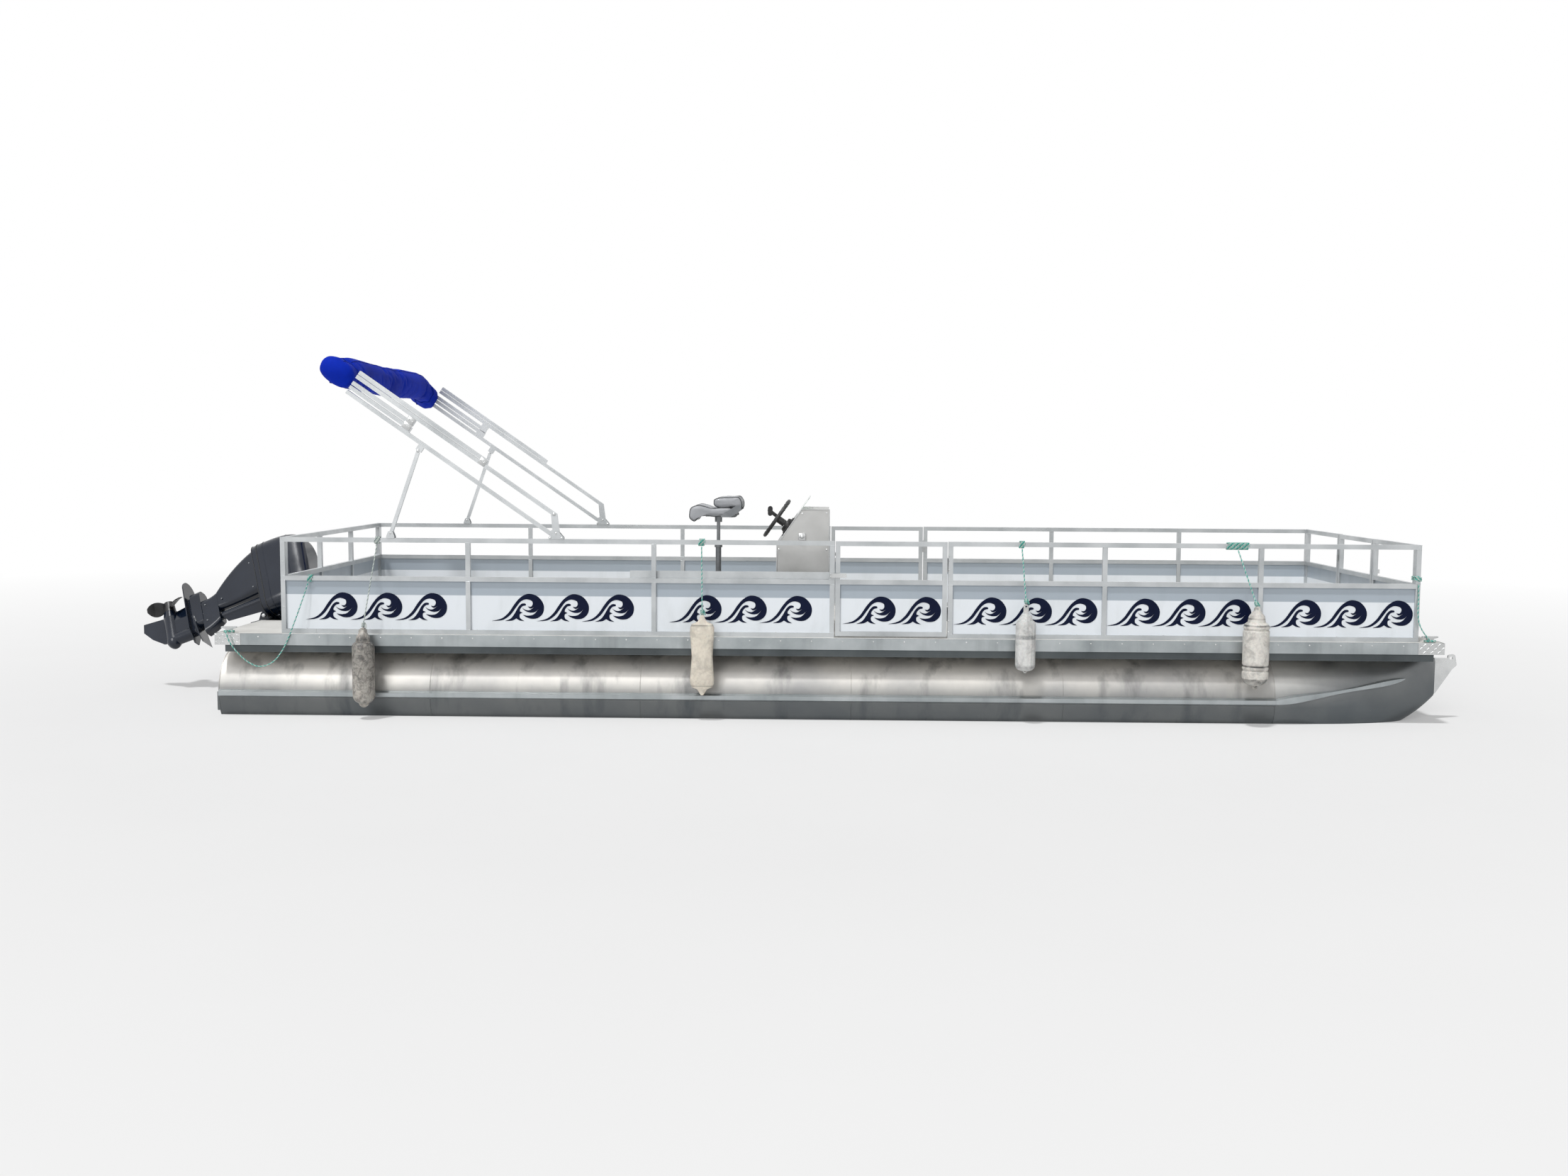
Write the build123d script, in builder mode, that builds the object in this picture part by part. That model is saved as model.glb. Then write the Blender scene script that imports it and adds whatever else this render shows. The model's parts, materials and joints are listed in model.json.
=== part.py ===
"""Pontoon boat: two aluminium tubes under a fenced deck, with a helm, a folded canopy and a tilted motor.

Millimetres. X runs forward to the bow, Y to port and Z up. The origin lies under the middle of the boat,
on the surface that the keel strips stand on.
"""

from build123d import *
import os
from math import atan2, cos, degrees, hypot, radians, sin, sqrt, tan

os.makedirs("parts", exist_ok=True)

# Deck and its edges
deck_length = 8530
deck_width = 2430
deck_thickness = 20
deck_aft = -3836
rub_rail_height = 78
rub_rail_depth = 32
rub_rail_wall = 5
side_channel_height = 50
side_channel_depth = 40
channel_inset = 15
well_width = 740
well_depth = 400
seat_gap = 0.3

# Pontoon tubes
tube_radius = 292
tube_wall = 3
tube_side = 1207
tube_offset = tube_side - tube_radius
keel_height = 12
keel_width = 40
nose_room = 1130
barrel_length = deck_length - nose_room
nose_bend_start = 480
nose_bend_radius = 1000

# Under-deck frame
member_height = 90
member_flange = 45
member_wall = 4
member_pitch = 616
riser_height = 28
riser_width = 160
riser_wall = 5

# Fence
fence_width = 2372
fence_aft = 445
fence_bow = 8378
rail_size = 32
fence_height = 675
mid_rail_top = 405
panel_thickness = 3
gate_gap = 8
gate_aft = 4334
gate_bow = 5110
bow_gate_half = 356
hinge_radius = 6
pin_radius = 3
leaf_thickness = 2.5
hinge_length = 96
hinge_heights = (167, 510)

# Helm
console_length = 372
console_width = 600
console_height = 885
console_bow = 4290
console_y = -650
console_wall = 3
dash_run = 176
dash_drop = 250
wheel_radius = 165
wheel_y = -600
column_length = 106
seat_x = 3480
seat_y = -580
seat_width = 410
seat_height = 826
seat_hinge_x = 3640
seat_hinge_height = 889

# Folded canopy
canopy_x = 2385
canopy_height = 40
canopy_angle = 34.7
bow_tube = 27
boot_start = 1750
boot_length = 270
strut_foot_x = 1224
strut_foot_height = 32
strut_angle = 70.7
strut_length = 600
jaw_place = 1112
jaw_drop = -80

# Outboard motor, in its running position and then tilted and turned
tilt_axis_x = -82
tilt_axis_height = 8
tilt_angle = 68
steer_angle = 30
steer_setback = 118
transom_top = -25
transom_thickness = 45
propeller_drop = 760
propeller_radius = 166
blade_turn = 27
plate_drop = 580
pin_clearance = 0.06
tilt_tube_radius = 16
swivel_radius = 30
king_radius = 15
prop_shaft_radius = 12
gearcase_radius = 58

# Levels and places that follow
tube_axis_z = keel_height + tube_radius
tube_top_z = tube_axis_z + tube_radius
deck_z = tube_top_z + riser_height + member_height + deck_thickness
member_top_z = deck_z - deck_thickness
deck_bow = deck_aft + deck_length
fence_side = fence_width / 2
rail_centre = fence_side - rail_size / 2
edge_side = deck_width / 2 + seat_gap + rub_rail_depth
sides = (("starboard", -1), ("port", 1))


def along(distance):
    """X of a place that lies this far ahead of the deck's aft edge."""
    return deck_aft + distance


def above(height):
    """Z of a place that lies this far above the deck."""
    return deck_z + height


def save(piece, name):
    """Labels a finished piece and writes its file."""
    piece.part.label = name
    export_step(piece.part, f"parts/{name}.step")


def side_plane(sign, distance):
    """Upright plane along the boat, this far out on one side; it faces starboard on both sides."""
    return Plane.XZ.offset(-sign * distance)


def welded_frame(plane, posts, levels, inward):
    """Fence frame of square tube: an upright sketch with windows between its posts and rails.

    posts are the places of each post's two faces, levels the heights of each rail's two faces, and
    inward the way from the plane to the boat's middle, 1 along the plane's normal or -1 against it.
    """
    left, right = posts[0][0], posts[-1][1]
    low, high = levels[0][0], levels[-1][1]
    with BuildPart() as frame:
        with BuildSketch(plane):
            with Locations(((left + right) / 2, (low + high) / 2)):
                Rectangle(right - left, high - low)
            for (_, start), (end, _) in zip(posts, posts[1:]):
                for (_, bottom), (top, _) in zip(levels, levels[1:]):
                    with Locations(((start + end) / 2, (bottom + top) / 2)):
                        Rectangle(end - start, top - bottom, mode=Mode.SUBTRACT)
        extrude(amount=inward * rail_size)
    return frame


def infill_panels(plane, posts, inward, low):
    """Sheets between a frame's posts, from this height to the mid rail, half way into the frame."""
    high = above(mid_rail_top - rail_size)
    with BuildPart() as panels:
        with BuildSketch(plane.offset(inward * rail_size / 2)):
            for (_, start), (end, _) in zip(posts, posts[1:]):
                with Locations(((start + end) / 2, (low + high) / 2)):
                    Rectangle(end - start, high - low)
        extrude(amount=inward * panel_thickness)
    return panels


def post_faces(centres, size=rail_size):
    """Turns post centres into pairs of faces."""
    return [(centre - size / 2, centre + size / 2) for centre in centres]


# Pontoon tubes, each a rolled barrel with a keel strip under it

with BuildPart() as tubes:
    for side, sign in sides:
        with BuildSketch(Plane.YZ.offset(along(0))):
            with Locations((sign * tube_offset, tube_axis_z)):
                Circle(tube_radius)
                Circle(tube_radius - tube_wall, mode=Mode.SUBTRACT)
        extrude(amount=barrel_length)
save(tubes, "pontoon_tubes")

with BuildPart() as keel_strips:
    for side, sign in sides:
        with BuildSketch(Plane.YZ.offset(along(0))):
            with Locations((sign * tube_offset, tube_axis_z)):
                Rectangle(keel_width, 2 * (tube_radius + keel_height))
                Circle(tube_radius, mode=Mode.SUBTRACT)
                with Locations((0, tube_radius + keel_height)):
                    Rectangle(2 * keel_width, 2 * tube_radius, mode=Mode.SUBTRACT)
        extrude(amount=barrel_length)
save(keel_strips, "keel_strips")

with BuildPart() as end_caps:
    for side, sign in sides:
        with BuildSketch(Plane.YZ.offset(along(0))):
            with Locations((sign * tube_offset, tube_axis_z)):
                Circle(tube_radius)
        extrude(amount=-tube_wall)
        with BuildSketch(side_plane(sign, tube_offset)):
            with BuildLine():
                Polyline(
                    (along(-tube_wall), tube_axis_z - 20),
                    (along(-100), tube_axis_z - 20),
                    (along(-100), tube_axis_z - 150),
                    (along(-70), tube_axis_z - 190),
                    (along(-tube_wall), tube_axis_z - 190),
                    close=True,
                )
            make_face()
        extrude(amount=80, both=True)
save(end_caps, "tube_end_caps")

# Nose cones: upright rounded sections that narrow to the stem while the bottom rises in an arc
# Columns: distance ahead of the barrel's end, half the width
nose_sections = (
    (0, tube_radius - 0.5),
    (350, tube_radius - 24),
    (650, tube_radius - 78),
    (900, tube_radius - 146),
    (1100, tube_radius - 216),
    (1200, tube_radius - 258),
)


def nose_rise(distance):
    """Height by which the nose's bottom has risen at this distance ahead of the barrel."""
    past = max(distance - nose_bend_start, 0)
    return nose_bend_radius - sqrt(nose_bend_radius**2 - past**2)


def nose_section(distance):
    """Centre height and full height of the nose at this distance."""
    rise = nose_rise(distance)
    return tube_axis_z + rise / 2, 2 * tube_radius - rise


def nose_body(sign, swell, margin):
    """Loft through the nose's sections, wider each side by swell and taller by margin."""
    with BuildPart() as body:
        for distance, half_width in nose_sections:
            centre, height = nose_section(distance)
            width = half_width + swell
            with BuildSketch(Plane.YZ.offset(along(barrel_length + distance))):
                with Locations((sign * tube_offset, centre)):
                    SlotCenterToCenter(height + 2 * margin - 2 * width, 2 * width, rotation=90)
        loft()
    return body


with BuildPart() as nosecones:
    for side, sign in sides:
        add(nose_body(sign, 0, 0).part)
        add(nose_body(sign, -tube_wall, -tube_wall).part, mode=Mode.SUBTRACT)
        with BuildSketch(Plane.YZ.offset(along(barrel_length + nose_sections[-1][0]))):
            centre, height = nose_section(nose_sections[-1][0])
            with Locations((sign * tube_offset, centre)):
                SlotCenterToCenter(
                    height - 2 * nose_sections[-1][1], 2 * nose_sections[-1][1], rotation=90
                )
        extrude(amount=-tube_wall)
save(nosecones, "nosecones")

nose_tip = barrel_length + nose_sections[-1][0]
with BuildPart() as stem_plates:
    for side, sign in sides:
        with BuildSketch(side_plane(sign, tube_offset)):
            with BuildLine():
                Polyline(
                    (along(nose_tip), tube_top_z - 3),
                    (along(nose_tip + 100), tube_top_z - 3),
                    (along(nose_tip + 130), tube_axis_z + 205),
                    (along(nose_tip + 12), tube_axis_z + 40),
                    (along(nose_tip), tube_axis_z + 34),
                    close=True,
                )
            make_face()
        extrude(amount=30, both=True)
    with BuildSketch(Plane.XY.offset(tube_axis_z)):
        for side, sign in sides:
            with BuildLine():
                Polyline(
                    (along(nose_tip), sign * tube_offset - 28),
                    (along(nose_tip), sign * tube_offset + 28),
                    (along(nose_tip + 135), sign * tube_offset + 9),
                    (along(nose_tip + 135), sign * tube_offset - 9),
                    close=True,
                )
            make_face()
    extrude(amount=2 * tube_radius, mode=Mode.INTERSECT)
save(stem_plates, "stem_plates")

eye_centre = nose_tip + 124
with BuildPart() as tow_eyes:
    for side, sign in sides:
        with BuildSketch(side_plane(sign, tube_offset)):
            with BuildLine():
                FilletPolyline(
                    (along(nose_tip + 131), tube_axis_z + 205),
                    (along(nose_tip + 166), tube_axis_z + 238),
                    (along(nose_tip + 150), tube_top_z + 26),
                    (along(nose_tip + 101), tube_top_z + 20),
                    (along(nose_tip + 101), tube_top_z - 3),
                    radius=(18, 20, 12),
                )
                Line(
                    (along(nose_tip + 101), tube_top_z - 3),
                    (along(nose_tip + 131), tube_axis_z + 205),
                )
            make_face()
            with Locations((along(eye_centre), tube_top_z - 4)):
                Circle(11, mode=Mode.SUBTRACT)
        extrude(amount=6, both=True)
save(tow_eyes, "tow_eyes")

# Strakes: a trapezoid strip along each barrel's outer side, then a tapering one up the nose's side
strake_reach = 25
strake_z = tube_axis_z + 5
strake_rise = 149
strake_end = 956
strake_skin = 2
# Columns: distance ahead of the barrel, half the nose's width there, the strake's reach and half height
nose_strake_sections = (
    (0, tube_radius - 0.5, strake_reach, 20),
    (350, tube_radius - 24, strake_reach - 3, 19),
    (650, tube_radius - 78, strake_reach - 3, 18),
    (900, tube_radius - 146, strake_reach - 6, 16),
    (strake_end, tube_radius - 164, 4, 3),
)
with BuildPart() as strakes:
    for side, sign in sides:
        outer = sign * (tube_offset + tube_radius)
        with BuildSketch(Plane.YZ.offset(along(0))):
            with BuildLine():
                Polyline(
                    (outer - sign * 20, strake_z + 26),
                    (outer, strake_z + 26),
                    (outer + sign * strake_reach, strake_z + 14),
                    (outer + sign * strake_reach, strake_z - 14),
                    (outer, strake_z - 26),
                    (outer - sign * 20, strake_z - 26),
                    close=True,
                )
            make_face()
            with Locations((sign * tube_offset, tube_axis_z)):
                Circle(tube_radius + seat_gap, mode=Mode.SUBTRACT)
        extrude(amount=barrel_length)
        for distance, half_width, reach, half_height in nose_strake_sections:
            rise = strake_z + strake_rise * distance / strake_end
            centre, height = nose_section(distance)
            over = max(rise - centre - height / 2 + half_width, 0)
            skin = tube_offset + sqrt(half_width**2 - over**2) + strake_skin
            with BuildSketch(Plane.YZ.offset(along(barrel_length + distance))):
                with BuildLine():
                    Polyline(
                        (sign * skin, rise + half_height),
                        (sign * (skin + reach), rise + 0.7 * half_height),
                        (sign * (skin + reach), rise - 0.7 * half_height),
                        (sign * skin, rise - half_height),
                        close=True,
                    )
                make_face()
        loft()
save(strakes, "strakes")

# Under-deck frame: risers on the tubes, channel members across them

member_first = 430
member_last = deck_length - 60
member_count = round((member_last - member_first) / member_pitch) + 1
member_step = (member_last - member_first) / (member_count - 1)
member_places = [member_first + index * member_step for index in range(member_count)]
member_length = 2 * (edge_side - channel_inset - side_channel_depth - seat_gap)

with BuildPart() as cross_members:
    for place in member_places:
        with BuildSketch(Plane.XZ.offset(-member_length / 2)):
            with Locations((along(place), member_top_z - member_height / 2)):
                Rectangle(member_flange, member_height)
                with Locations((member_wall, 0)):
                    Rectangle(member_flange, member_height - 2 * member_wall, mode=Mode.SUBTRACT)
        extrude(amount=member_length)
save(cross_members, "cross_members")

riser_length = barrel_length + 330
with BuildPart() as risers:
    for side, sign in sides:
        with BuildSketch(Plane.YZ.offset(along(40))):
            with Locations((sign * tube_offset, tube_top_z)):
                Rectangle(riser_width, 2 * riser_height)
                Rectangle(riser_width - 2 * riser_wall, 2 * (riser_height - riser_wall), mode=Mode.SUBTRACT)
            with Locations((sign * tube_offset, tube_axis_z)):
                Circle(tube_radius + seat_gap, mode=Mode.SUBTRACT)
            with Locations((sign * tube_offset, tube_top_z - riser_height)):
                Rectangle(riser_width, riser_height, mode=Mode.SUBTRACT)
        extrude(amount=riser_length)
        with BuildSketch(Plane.YZ.offset(along(member_last) - 28)):
            with Locations((sign * tube_offset, tube_top_z + riser_height / 2)):
                Rectangle(50, riser_height)
        extrude(amount=56)
save(risers, "risers")

with BuildPart() as deck:
    with BuildSketch(Plane.XY.offset(member_top_z)):
        with Locations((along(deck_length / 2), 0)):
            Rectangle(deck_length, deck_width)
        with Locations((along(well_depth / 2), 0)):
            Rectangle(well_depth, well_width, mode=Mode.SUBTRACT)
    extrude(amount=deck_thickness)
save(deck, "deck")

with BuildPart() as rub_rails:
    for side, sign in sides:
        with BuildSketch(Plane.YZ.offset(along(0))):
            with Locations((sign * (edge_side - rub_rail_depth / 2), above(-rub_rail_height / 2))):
                Rectangle(rub_rail_depth, rub_rail_height)
                with Locations((-sign * rub_rail_wall, 0)):
                    Rectangle(rub_rail_depth, rub_rail_height - 2 * rub_rail_wall, mode=Mode.SUBTRACT)
        extrude(amount=deck_length)
save(rub_rails, "rub_rails")

with BuildPart() as side_channels:
    for side, sign in sides:
        channel_side = edge_side - channel_inset
        with BuildSketch(Plane.YZ.offset(along(60))):
            with Locations(
                (
                    sign * (channel_side - side_channel_depth / 2),
                    above(-rub_rail_height - side_channel_height / 2),
                )
            ):
                Rectangle(side_channel_depth, side_channel_height)
                with Locations((-sign * member_wall, 0)):
                    Rectangle(
                        side_channel_depth,
                        side_channel_height - 2 * member_wall,
                        mode=Mode.SUBTRACT,
                    )
        extrude(amount=deck_length - 120)
save(side_channels, "side_channels")

# Bow and stern edge trim, the stern's in two pieces beside the motor well
trim_thickness = 4
with BuildPart() as end_trim:
    with BuildSketch(Plane.YZ.offset(deck_bow)):
        with Locations((0, above(-rub_rail_height / 2))):
            Rectangle(deck_width, rub_rail_height)
    extrude(amount=trim_thickness)
    stern_run = (deck_width - well_width) / 2
    for side, sign in sides:
        with BuildSketch(Plane.YZ.offset(along(0))):
            with Locations((sign * (well_width / 2 + stern_run / 2), above(-rub_rail_height / 2))):
                Rectangle(stern_run, rub_rail_height)
        extrude(amount=-trim_thickness)
save(end_trim, "end_trim")

# Corner caps of tread plate, bent round each corner of the deck
cap_length = 178
cap_wall = 3
with BuildPart() as corner_caps:
    for side, sign in sides:
        for end, corner in ((-1, along(-trim_thickness)), (1, deck_bow + trim_thickness)):
            with BuildSketch(Plane.XY.offset(above(-rub_rail_height))):
                with BuildLine():
                    Polyline(
                        (corner - end * cap_length, sign * (edge_side + cap_wall)),
                        (corner + end * cap_wall, sign * (edge_side + cap_wall)),
                        (corner + end * cap_wall, sign * (edge_side - cap_length)),
                        (corner, sign * (edge_side - cap_length)),
                        (corner, sign * edge_side),
                        (corner - end * cap_length, sign * edge_side),
                        close=True,
                    )
                make_face()
            extrude(amount=rub_rail_height + cap_wall)
save(corner_caps, "corner_caps")

# Cleats on the deck's four corners
cleat_inset = 72
cleat_half = 55
with BuildPart() as cleats:
    for side, sign in sides:
        for place in (cleat_inset, deck_length - cleat_inset):
            with BuildSketch(side_plane(sign, edge_side - 62)):
                with BuildLine():
                    FilletPolyline(
                        (along(place - 30), above(0)),
                        (along(place - 22), above(26)),
                        (along(place - cleat_half), above(34)),
                        (along(place - cleat_half), above(44)),
                        (along(place + cleat_half), above(44)),
                        (along(place + cleat_half), above(34)),
                        (along(place + 22), above(26)),
                        (along(place + 30), above(0)),
                        radius=(5, 4, 4, 4, 4, 5),
                    )
                    Line((along(place + 30), above(0)), (along(place - 30), above(0)))
                make_face()
            extrude(amount=8, both=True)
save(cleats, "cleats")

# Motor pod between the tubes, with the transom that carries the motor
pod_width = 560
pod_aft = tilt_axis_x + 22
pod_floor_aft = -470
pod_kick = 110
transom_foot = -320
pod_length = 1150
pod_top = -(deck_thickness + member_height)
with BuildPart() as motor_pod:
    with BuildSketch(Plane.XZ.offset(-pod_width / 2)):
        with BuildLine():
            Polyline(
                (along(pod_aft), above(pod_top)),
                (along(pod_aft + pod_length), above(pod_top)),
                (along(pod_aft + pod_length), above(pod_top - 60)),
                (along(pod_aft + 0.45 * pod_length), above(pod_floor_aft)),
                (along(pod_aft + pod_kick), above(pod_floor_aft)),
                (along(pod_aft), above(transom_foot)),
                close=True,
            )
        make_face()
    extrude(amount=pod_width)
    pod_mouth = motor_pod.faces().sort_by(Axis.Z)[-1]
    offset(amount=-4, openings=pod_mouth)
    with BuildSketch(Plane.YZ.offset(along(pod_aft))):
        with BuildLine():
            Polyline(
                (-well_width / 2 + 60, above(transom_top)),
                (well_width / 2 - 60, above(transom_top)),
                (well_width / 2 - 84, above(transom_foot)),
                (-well_width / 2 + 84, above(transom_foot)),
                close=True,
            )
        make_face()
    extrude(amount=-transom_thickness)
save(motor_pod, "motor_pod")

# Side fences: an aft and a forward frame on each side, with the gate between them
levels = (
    (above(0), above(rail_size)),
    (above(mid_rail_top - rail_size), above(mid_rail_top)),
    (above(fence_height - rail_size), above(fence_height)),
)
panel_low = above(rail_size)
side_aft_posts = post_faces([along(place) for place in (461, 1763, 3065, 4310)])
side_bow_posts = post_faces([along(place) for place in (5134, 6203, 7281, 8362)])

for side, sign in sides:
    outer = side_plane(sign, fence_side)
    save(welded_frame(outer, side_aft_posts, levels, sign), f"{side}_aft_fence")
    save(welded_frame(outer, side_bow_posts, levels, sign), f"{side}_bow_fence")

# End fences stand between the side fences
end_half = fence_side - rail_size
bow_plane = Plane(origin=(along(fence_bow), 0, 0), x_dir=(0, 1, 0), z_dir=(1, 0, 0))
stern_plane = Plane(origin=(along(fence_aft), 0, 0), x_dir=(0, -1, 0), z_dir=(-1, 0, 0))
stern_posts = post_faces([-end_half + rail_size / 2, -380, 380, end_half - rail_size / 2])
save(welded_frame(stern_plane, stern_posts, levels, -1), "stern_fence")
bow_gate_post = bow_gate_half + gate_gap + rail_size / 2
bow_posts = (
    post_faces([-end_half + rail_size / 2, -bow_gate_post]),
    post_faces([bow_gate_post, end_half - rail_size / 2]),
)
with BuildPart() as bow_fence:
    for posts in bow_posts:
        add(welded_frame(bow_plane, posts, levels, -1).part)
save(bow_fence, "bow_fence")
with BuildPart() as fence_panels:
    for side, sign in sides:
        for posts in (side_aft_posts, side_bow_posts):
            add(infill_panels(side_plane(sign, fence_side), posts, sign, panel_low).part)
    add(infill_panels(stern_plane, stern_posts, -1, panel_low).part)
    for posts in bow_posts:
        add(infill_panels(bow_plane, posts, -1, panel_low).part)
save(fence_panels, "fence_panels")

# Gates, held a little above the deck; each hinge's upper half is part of its gate
gate_lift = 12
gate_levels = (
    (above(gate_lift), above(gate_lift + rail_size)),
    (above(mid_rail_top - rail_size), above(mid_rail_top)),
    (above(fence_height - rail_size - 2), above(fence_height - 2)),
)
gate_posts = [
    (along(gate_aft), along(gate_aft) + rail_size),
    (along(gate_bow) - rail_size, along(gate_bow)),
]
bow_gate_posts = [(-bow_gate_half, -bow_gate_half + rail_size), (bow_gate_half - rail_size, bow_gate_half)]
hinge_inset = rail_size + seat_gap + hinge_radius
leaf_length = 30


def hinge_half(pin, along_leaf, to_frame, bottom, top, reach):
    """Knuckle and leaf between two heights; the leaf runs off the pin and reaches this far to the frame."""
    middle = pin + along_leaf * (leaf_length / 2) + to_frame * (reach - leaf_thickness / 2)
    with BuildPart() as half:
        with BuildSketch(Plane.XY.offset(above(bottom))):
            with Locations(pin):
                Circle(hinge_radius)
            with Locations(middle):
                Rectangle(leaf_length, leaf_thickness, rotation=degrees(atan2(along_leaf.Y, along_leaf.X)))
        extrude(amount=top - bottom)
    return half


side_pin_x = along(gate_bow + gate_gap / 2)
bow_pin_x = along(fence_bow - hinge_inset)
# Columns: name, outer plane, posts, way inward, pin in plan, way from pin to post, way from pin to frame
gates = (
    ("starboard_gate", side_plane(-1, fence_side), gate_posts, -1,
     Vector(side_pin_x, hinge_inset - fence_side), Vector(1, 0), Vector(0, -1)),
    ("port_gate", side_plane(1, fence_side), gate_posts, 1,
     Vector(side_pin_x, fence_side - hinge_inset), Vector(1, 0), Vector(0, 1)),
    ("bow_gate", bow_plane, bow_gate_posts, -1,
     Vector(bow_pin_x, bow_gate_half + gate_gap / 2), Vector(0, 1), Vector(1, 0)),
)
for name, plane, posts, inward, pin, to_post, to_frame in gates:
    with BuildPart() as gate:
        add(welded_frame(plane, posts, gate_levels, inward).part)
        for middle in hinge_heights:
            upper = (pin, to_post * -1, to_frame, middle + 0.5, middle + hinge_length / 2, hinge_radius + 0.8)
            add(hinge_half(*upper).part)
            with BuildSketch(Plane.XY.offset(above(middle))):
                with Locations(pin):
                    Circle(pin_radius + pin_clearance)
            extrude(amount=hinge_length / 2, mode=Mode.SUBTRACT)
    save(gate, name)
    save(infill_panels(plane, posts, inward, above(gate_lift + rail_size)), f"{name}_panel")

with BuildPart() as gate_hinges:
    for _, _, _, _, pin, to_post, to_frame in gates:
        for middle in hinge_heights:
            add(hinge_half(pin, to_post, to_frame, middle - hinge_length / 2, middle, hinge_radius).part)
            with BuildSketch(Plane.XY.offset(above(middle - 20))):
                with Locations(pin):
                    Circle(pin_radius)
            extrude(amount=20 + hinge_length / 2 + 2)

# Latch bars on the posts that the gates close to, each reaching across its gate's stile
latch_height = 435
latch_reach = 112
with BuildPart() as gate_latches:
    with BuildSketch(Plane.XY.offset(above(latch_height - 15))):
        for side, sign in sides:
            with Locations((along(gate_aft - gate_gap - rail_size / 2), sign * (fence_side + seat_gap + 7))):
                Rectangle(28, 14)
            with Locations((along(gate_aft - gate_gap - 28 + latch_reach / 2), sign * (fence_side + 10))):
                Rectangle(latch_reach, 8)
        with Locations((along(fence_bow) + seat_gap + 7, -bow_gate_half - gate_gap - rail_size / 2)):
            Rectangle(14, 28)
        with Locations((along(fence_bow) + 10, -bow_gate_half - gate_gap - 28 + latch_reach / 2)):
            Rectangle(8, latch_reach)
    extrude(amount=30)

with BuildPart() as gate_fittings:
    add(gate_hinges.part)
    add(gate_latches.part)
save(gate_fittings, "gate_fittings")

# Boarding ladder, stowed on its edge inside the starboard fence
ladder_aft = 2895
ladder_bow = 4291
ladder_height = 455
ladder_rail = 50
tread_depth = 77
tread_places = (2970, 3249, 3527, 3793, 4168)
with BuildPart() as ladder:
    with BuildSketch(side_plane(-1, fence_side - rail_size - 5)):
        for bottom in (seat_gap, ladder_height - ladder_rail):
            with Locations((along((ladder_aft + ladder_bow) / 2), above(bottom + ladder_rail / 2))):
                Rectangle(ladder_bow - ladder_aft, ladder_rail)
        for place in tread_places:
            with Locations((along(place), above(ladder_height / 2))):
                Rectangle(tread_depth, ladder_height - 2 * ladder_rail + 10)
    extrude(amount=-25)
save(ladder, "boarding_ladder")

# Helm console: a folded sheet box with a sloping dash, open underneath
console_x = along(console_bow - console_length)
dash_length = hypot(dash_run, dash_drop)
dash_up = Vector(dash_run / dash_length, 0, dash_drop / dash_length)
dash_out = Vector(-dash_drop / dash_length, 0, dash_run / dash_length)
wheel_below = 15
dash_middle = Vector(console_x + dash_run / 2, wheel_y, above(console_height - dash_drop / 2))
dash_plane = Plane(origin=dash_middle - dash_up * wheel_below, x_dir=(0, -1, 0), z_dir=dash_out)
shaft_radius = 10

with BuildPart() as console:
    with BuildSketch(side_plane(1, console_y + console_width / 2)):
        with BuildLine():
            Polyline(
                (console_x, above(0)),
                (console_x, above(console_height - dash_drop)),
                (console_x + dash_run, above(console_height)),
                (console_x + console_length, above(console_height)),
                (console_x + console_length, above(0)),
                close=True,
            )
        make_face()
    extrude(amount=console_width)
    console_foot = console.faces().sort_by(Axis.Z)[0]
    offset(amount=-console_wall, openings=console_foot)
    with BuildSketch(dash_plane.offset(10)):
        Circle(shaft_radius + 2)
    extrude(amount=-30, mode=Mode.SUBTRACT)
save(console, "console")

# Dash panel under the wheel, with the round boss that the wheel's shaft turns in
boss_height = 34
with BuildPart() as dash_panel:
    with BuildSketch(dash_plane.offset(seat_gap)):
        with Locations((20, 0)):
            RectangleRounded(230, 158, 24)
    extrude(amount=5)
    with BuildSketch(dash_plane.offset(seat_gap)):
        Circle(62)
    extrude(amount=boss_height, taper=22)
    with BuildSketch(dash_plane):
        Circle(shaft_radius + pin_clearance)
    extrude(amount=boss_height + 10, mode=Mode.SUBTRACT)
save(dash_panel, "dash_panel")

screen_overlap = 50
screen_rise = 110
screen_thickness = 4
with BuildPart() as windscreen:
    with BuildSketch(dash_plane.offset(seat_gap)):
        screen_middle = dash_length / 2 + wheel_below + (screen_rise - screen_overlap) / 2
        with Locations((wheel_y - console_y, screen_middle)):
            RectangleRounded(console_width - 40, screen_rise + screen_overlap, 40)
    extrude(amount=screen_thickness)
save(windscreen, "windscreen")

wheel_centre = dash_plane.offset(column_length)
rim_thickness = 13
column_start = boss_height + 2
with BuildPart() as steering_wheel:
    with BuildSketch(Plane(origin=wheel_centre.origin, x_dir=dash_plane.z_dir, z_dir=dash_plane.x_dir)):
        with Locations((0, wheel_radius - rim_thickness)):
            Circle(rim_thickness)
    revolve(axis=Axis(wheel_centre.origin, dash_plane.z_dir))
    with BuildSketch(dash_plane.offset(column_start)):
        Circle(26)
    extrude(amount=column_length - column_start)
    with BuildSketch(dash_plane.offset(-18)):
        Circle(shaft_radius)
    extrude(amount=column_length)
    with BuildSketch(wheel_centre.offset(-8)):
        for spoke in (90, 210, 330):
            with Locations(Location((0, 0), spoke)):
                with Locations((wheel_radius / 2, 0)):
                    Rectangle(wheel_radius - 20, 26)
        Circle(34)
    extrude(amount=12)
save(steering_wheel, "steering_wheel")

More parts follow.
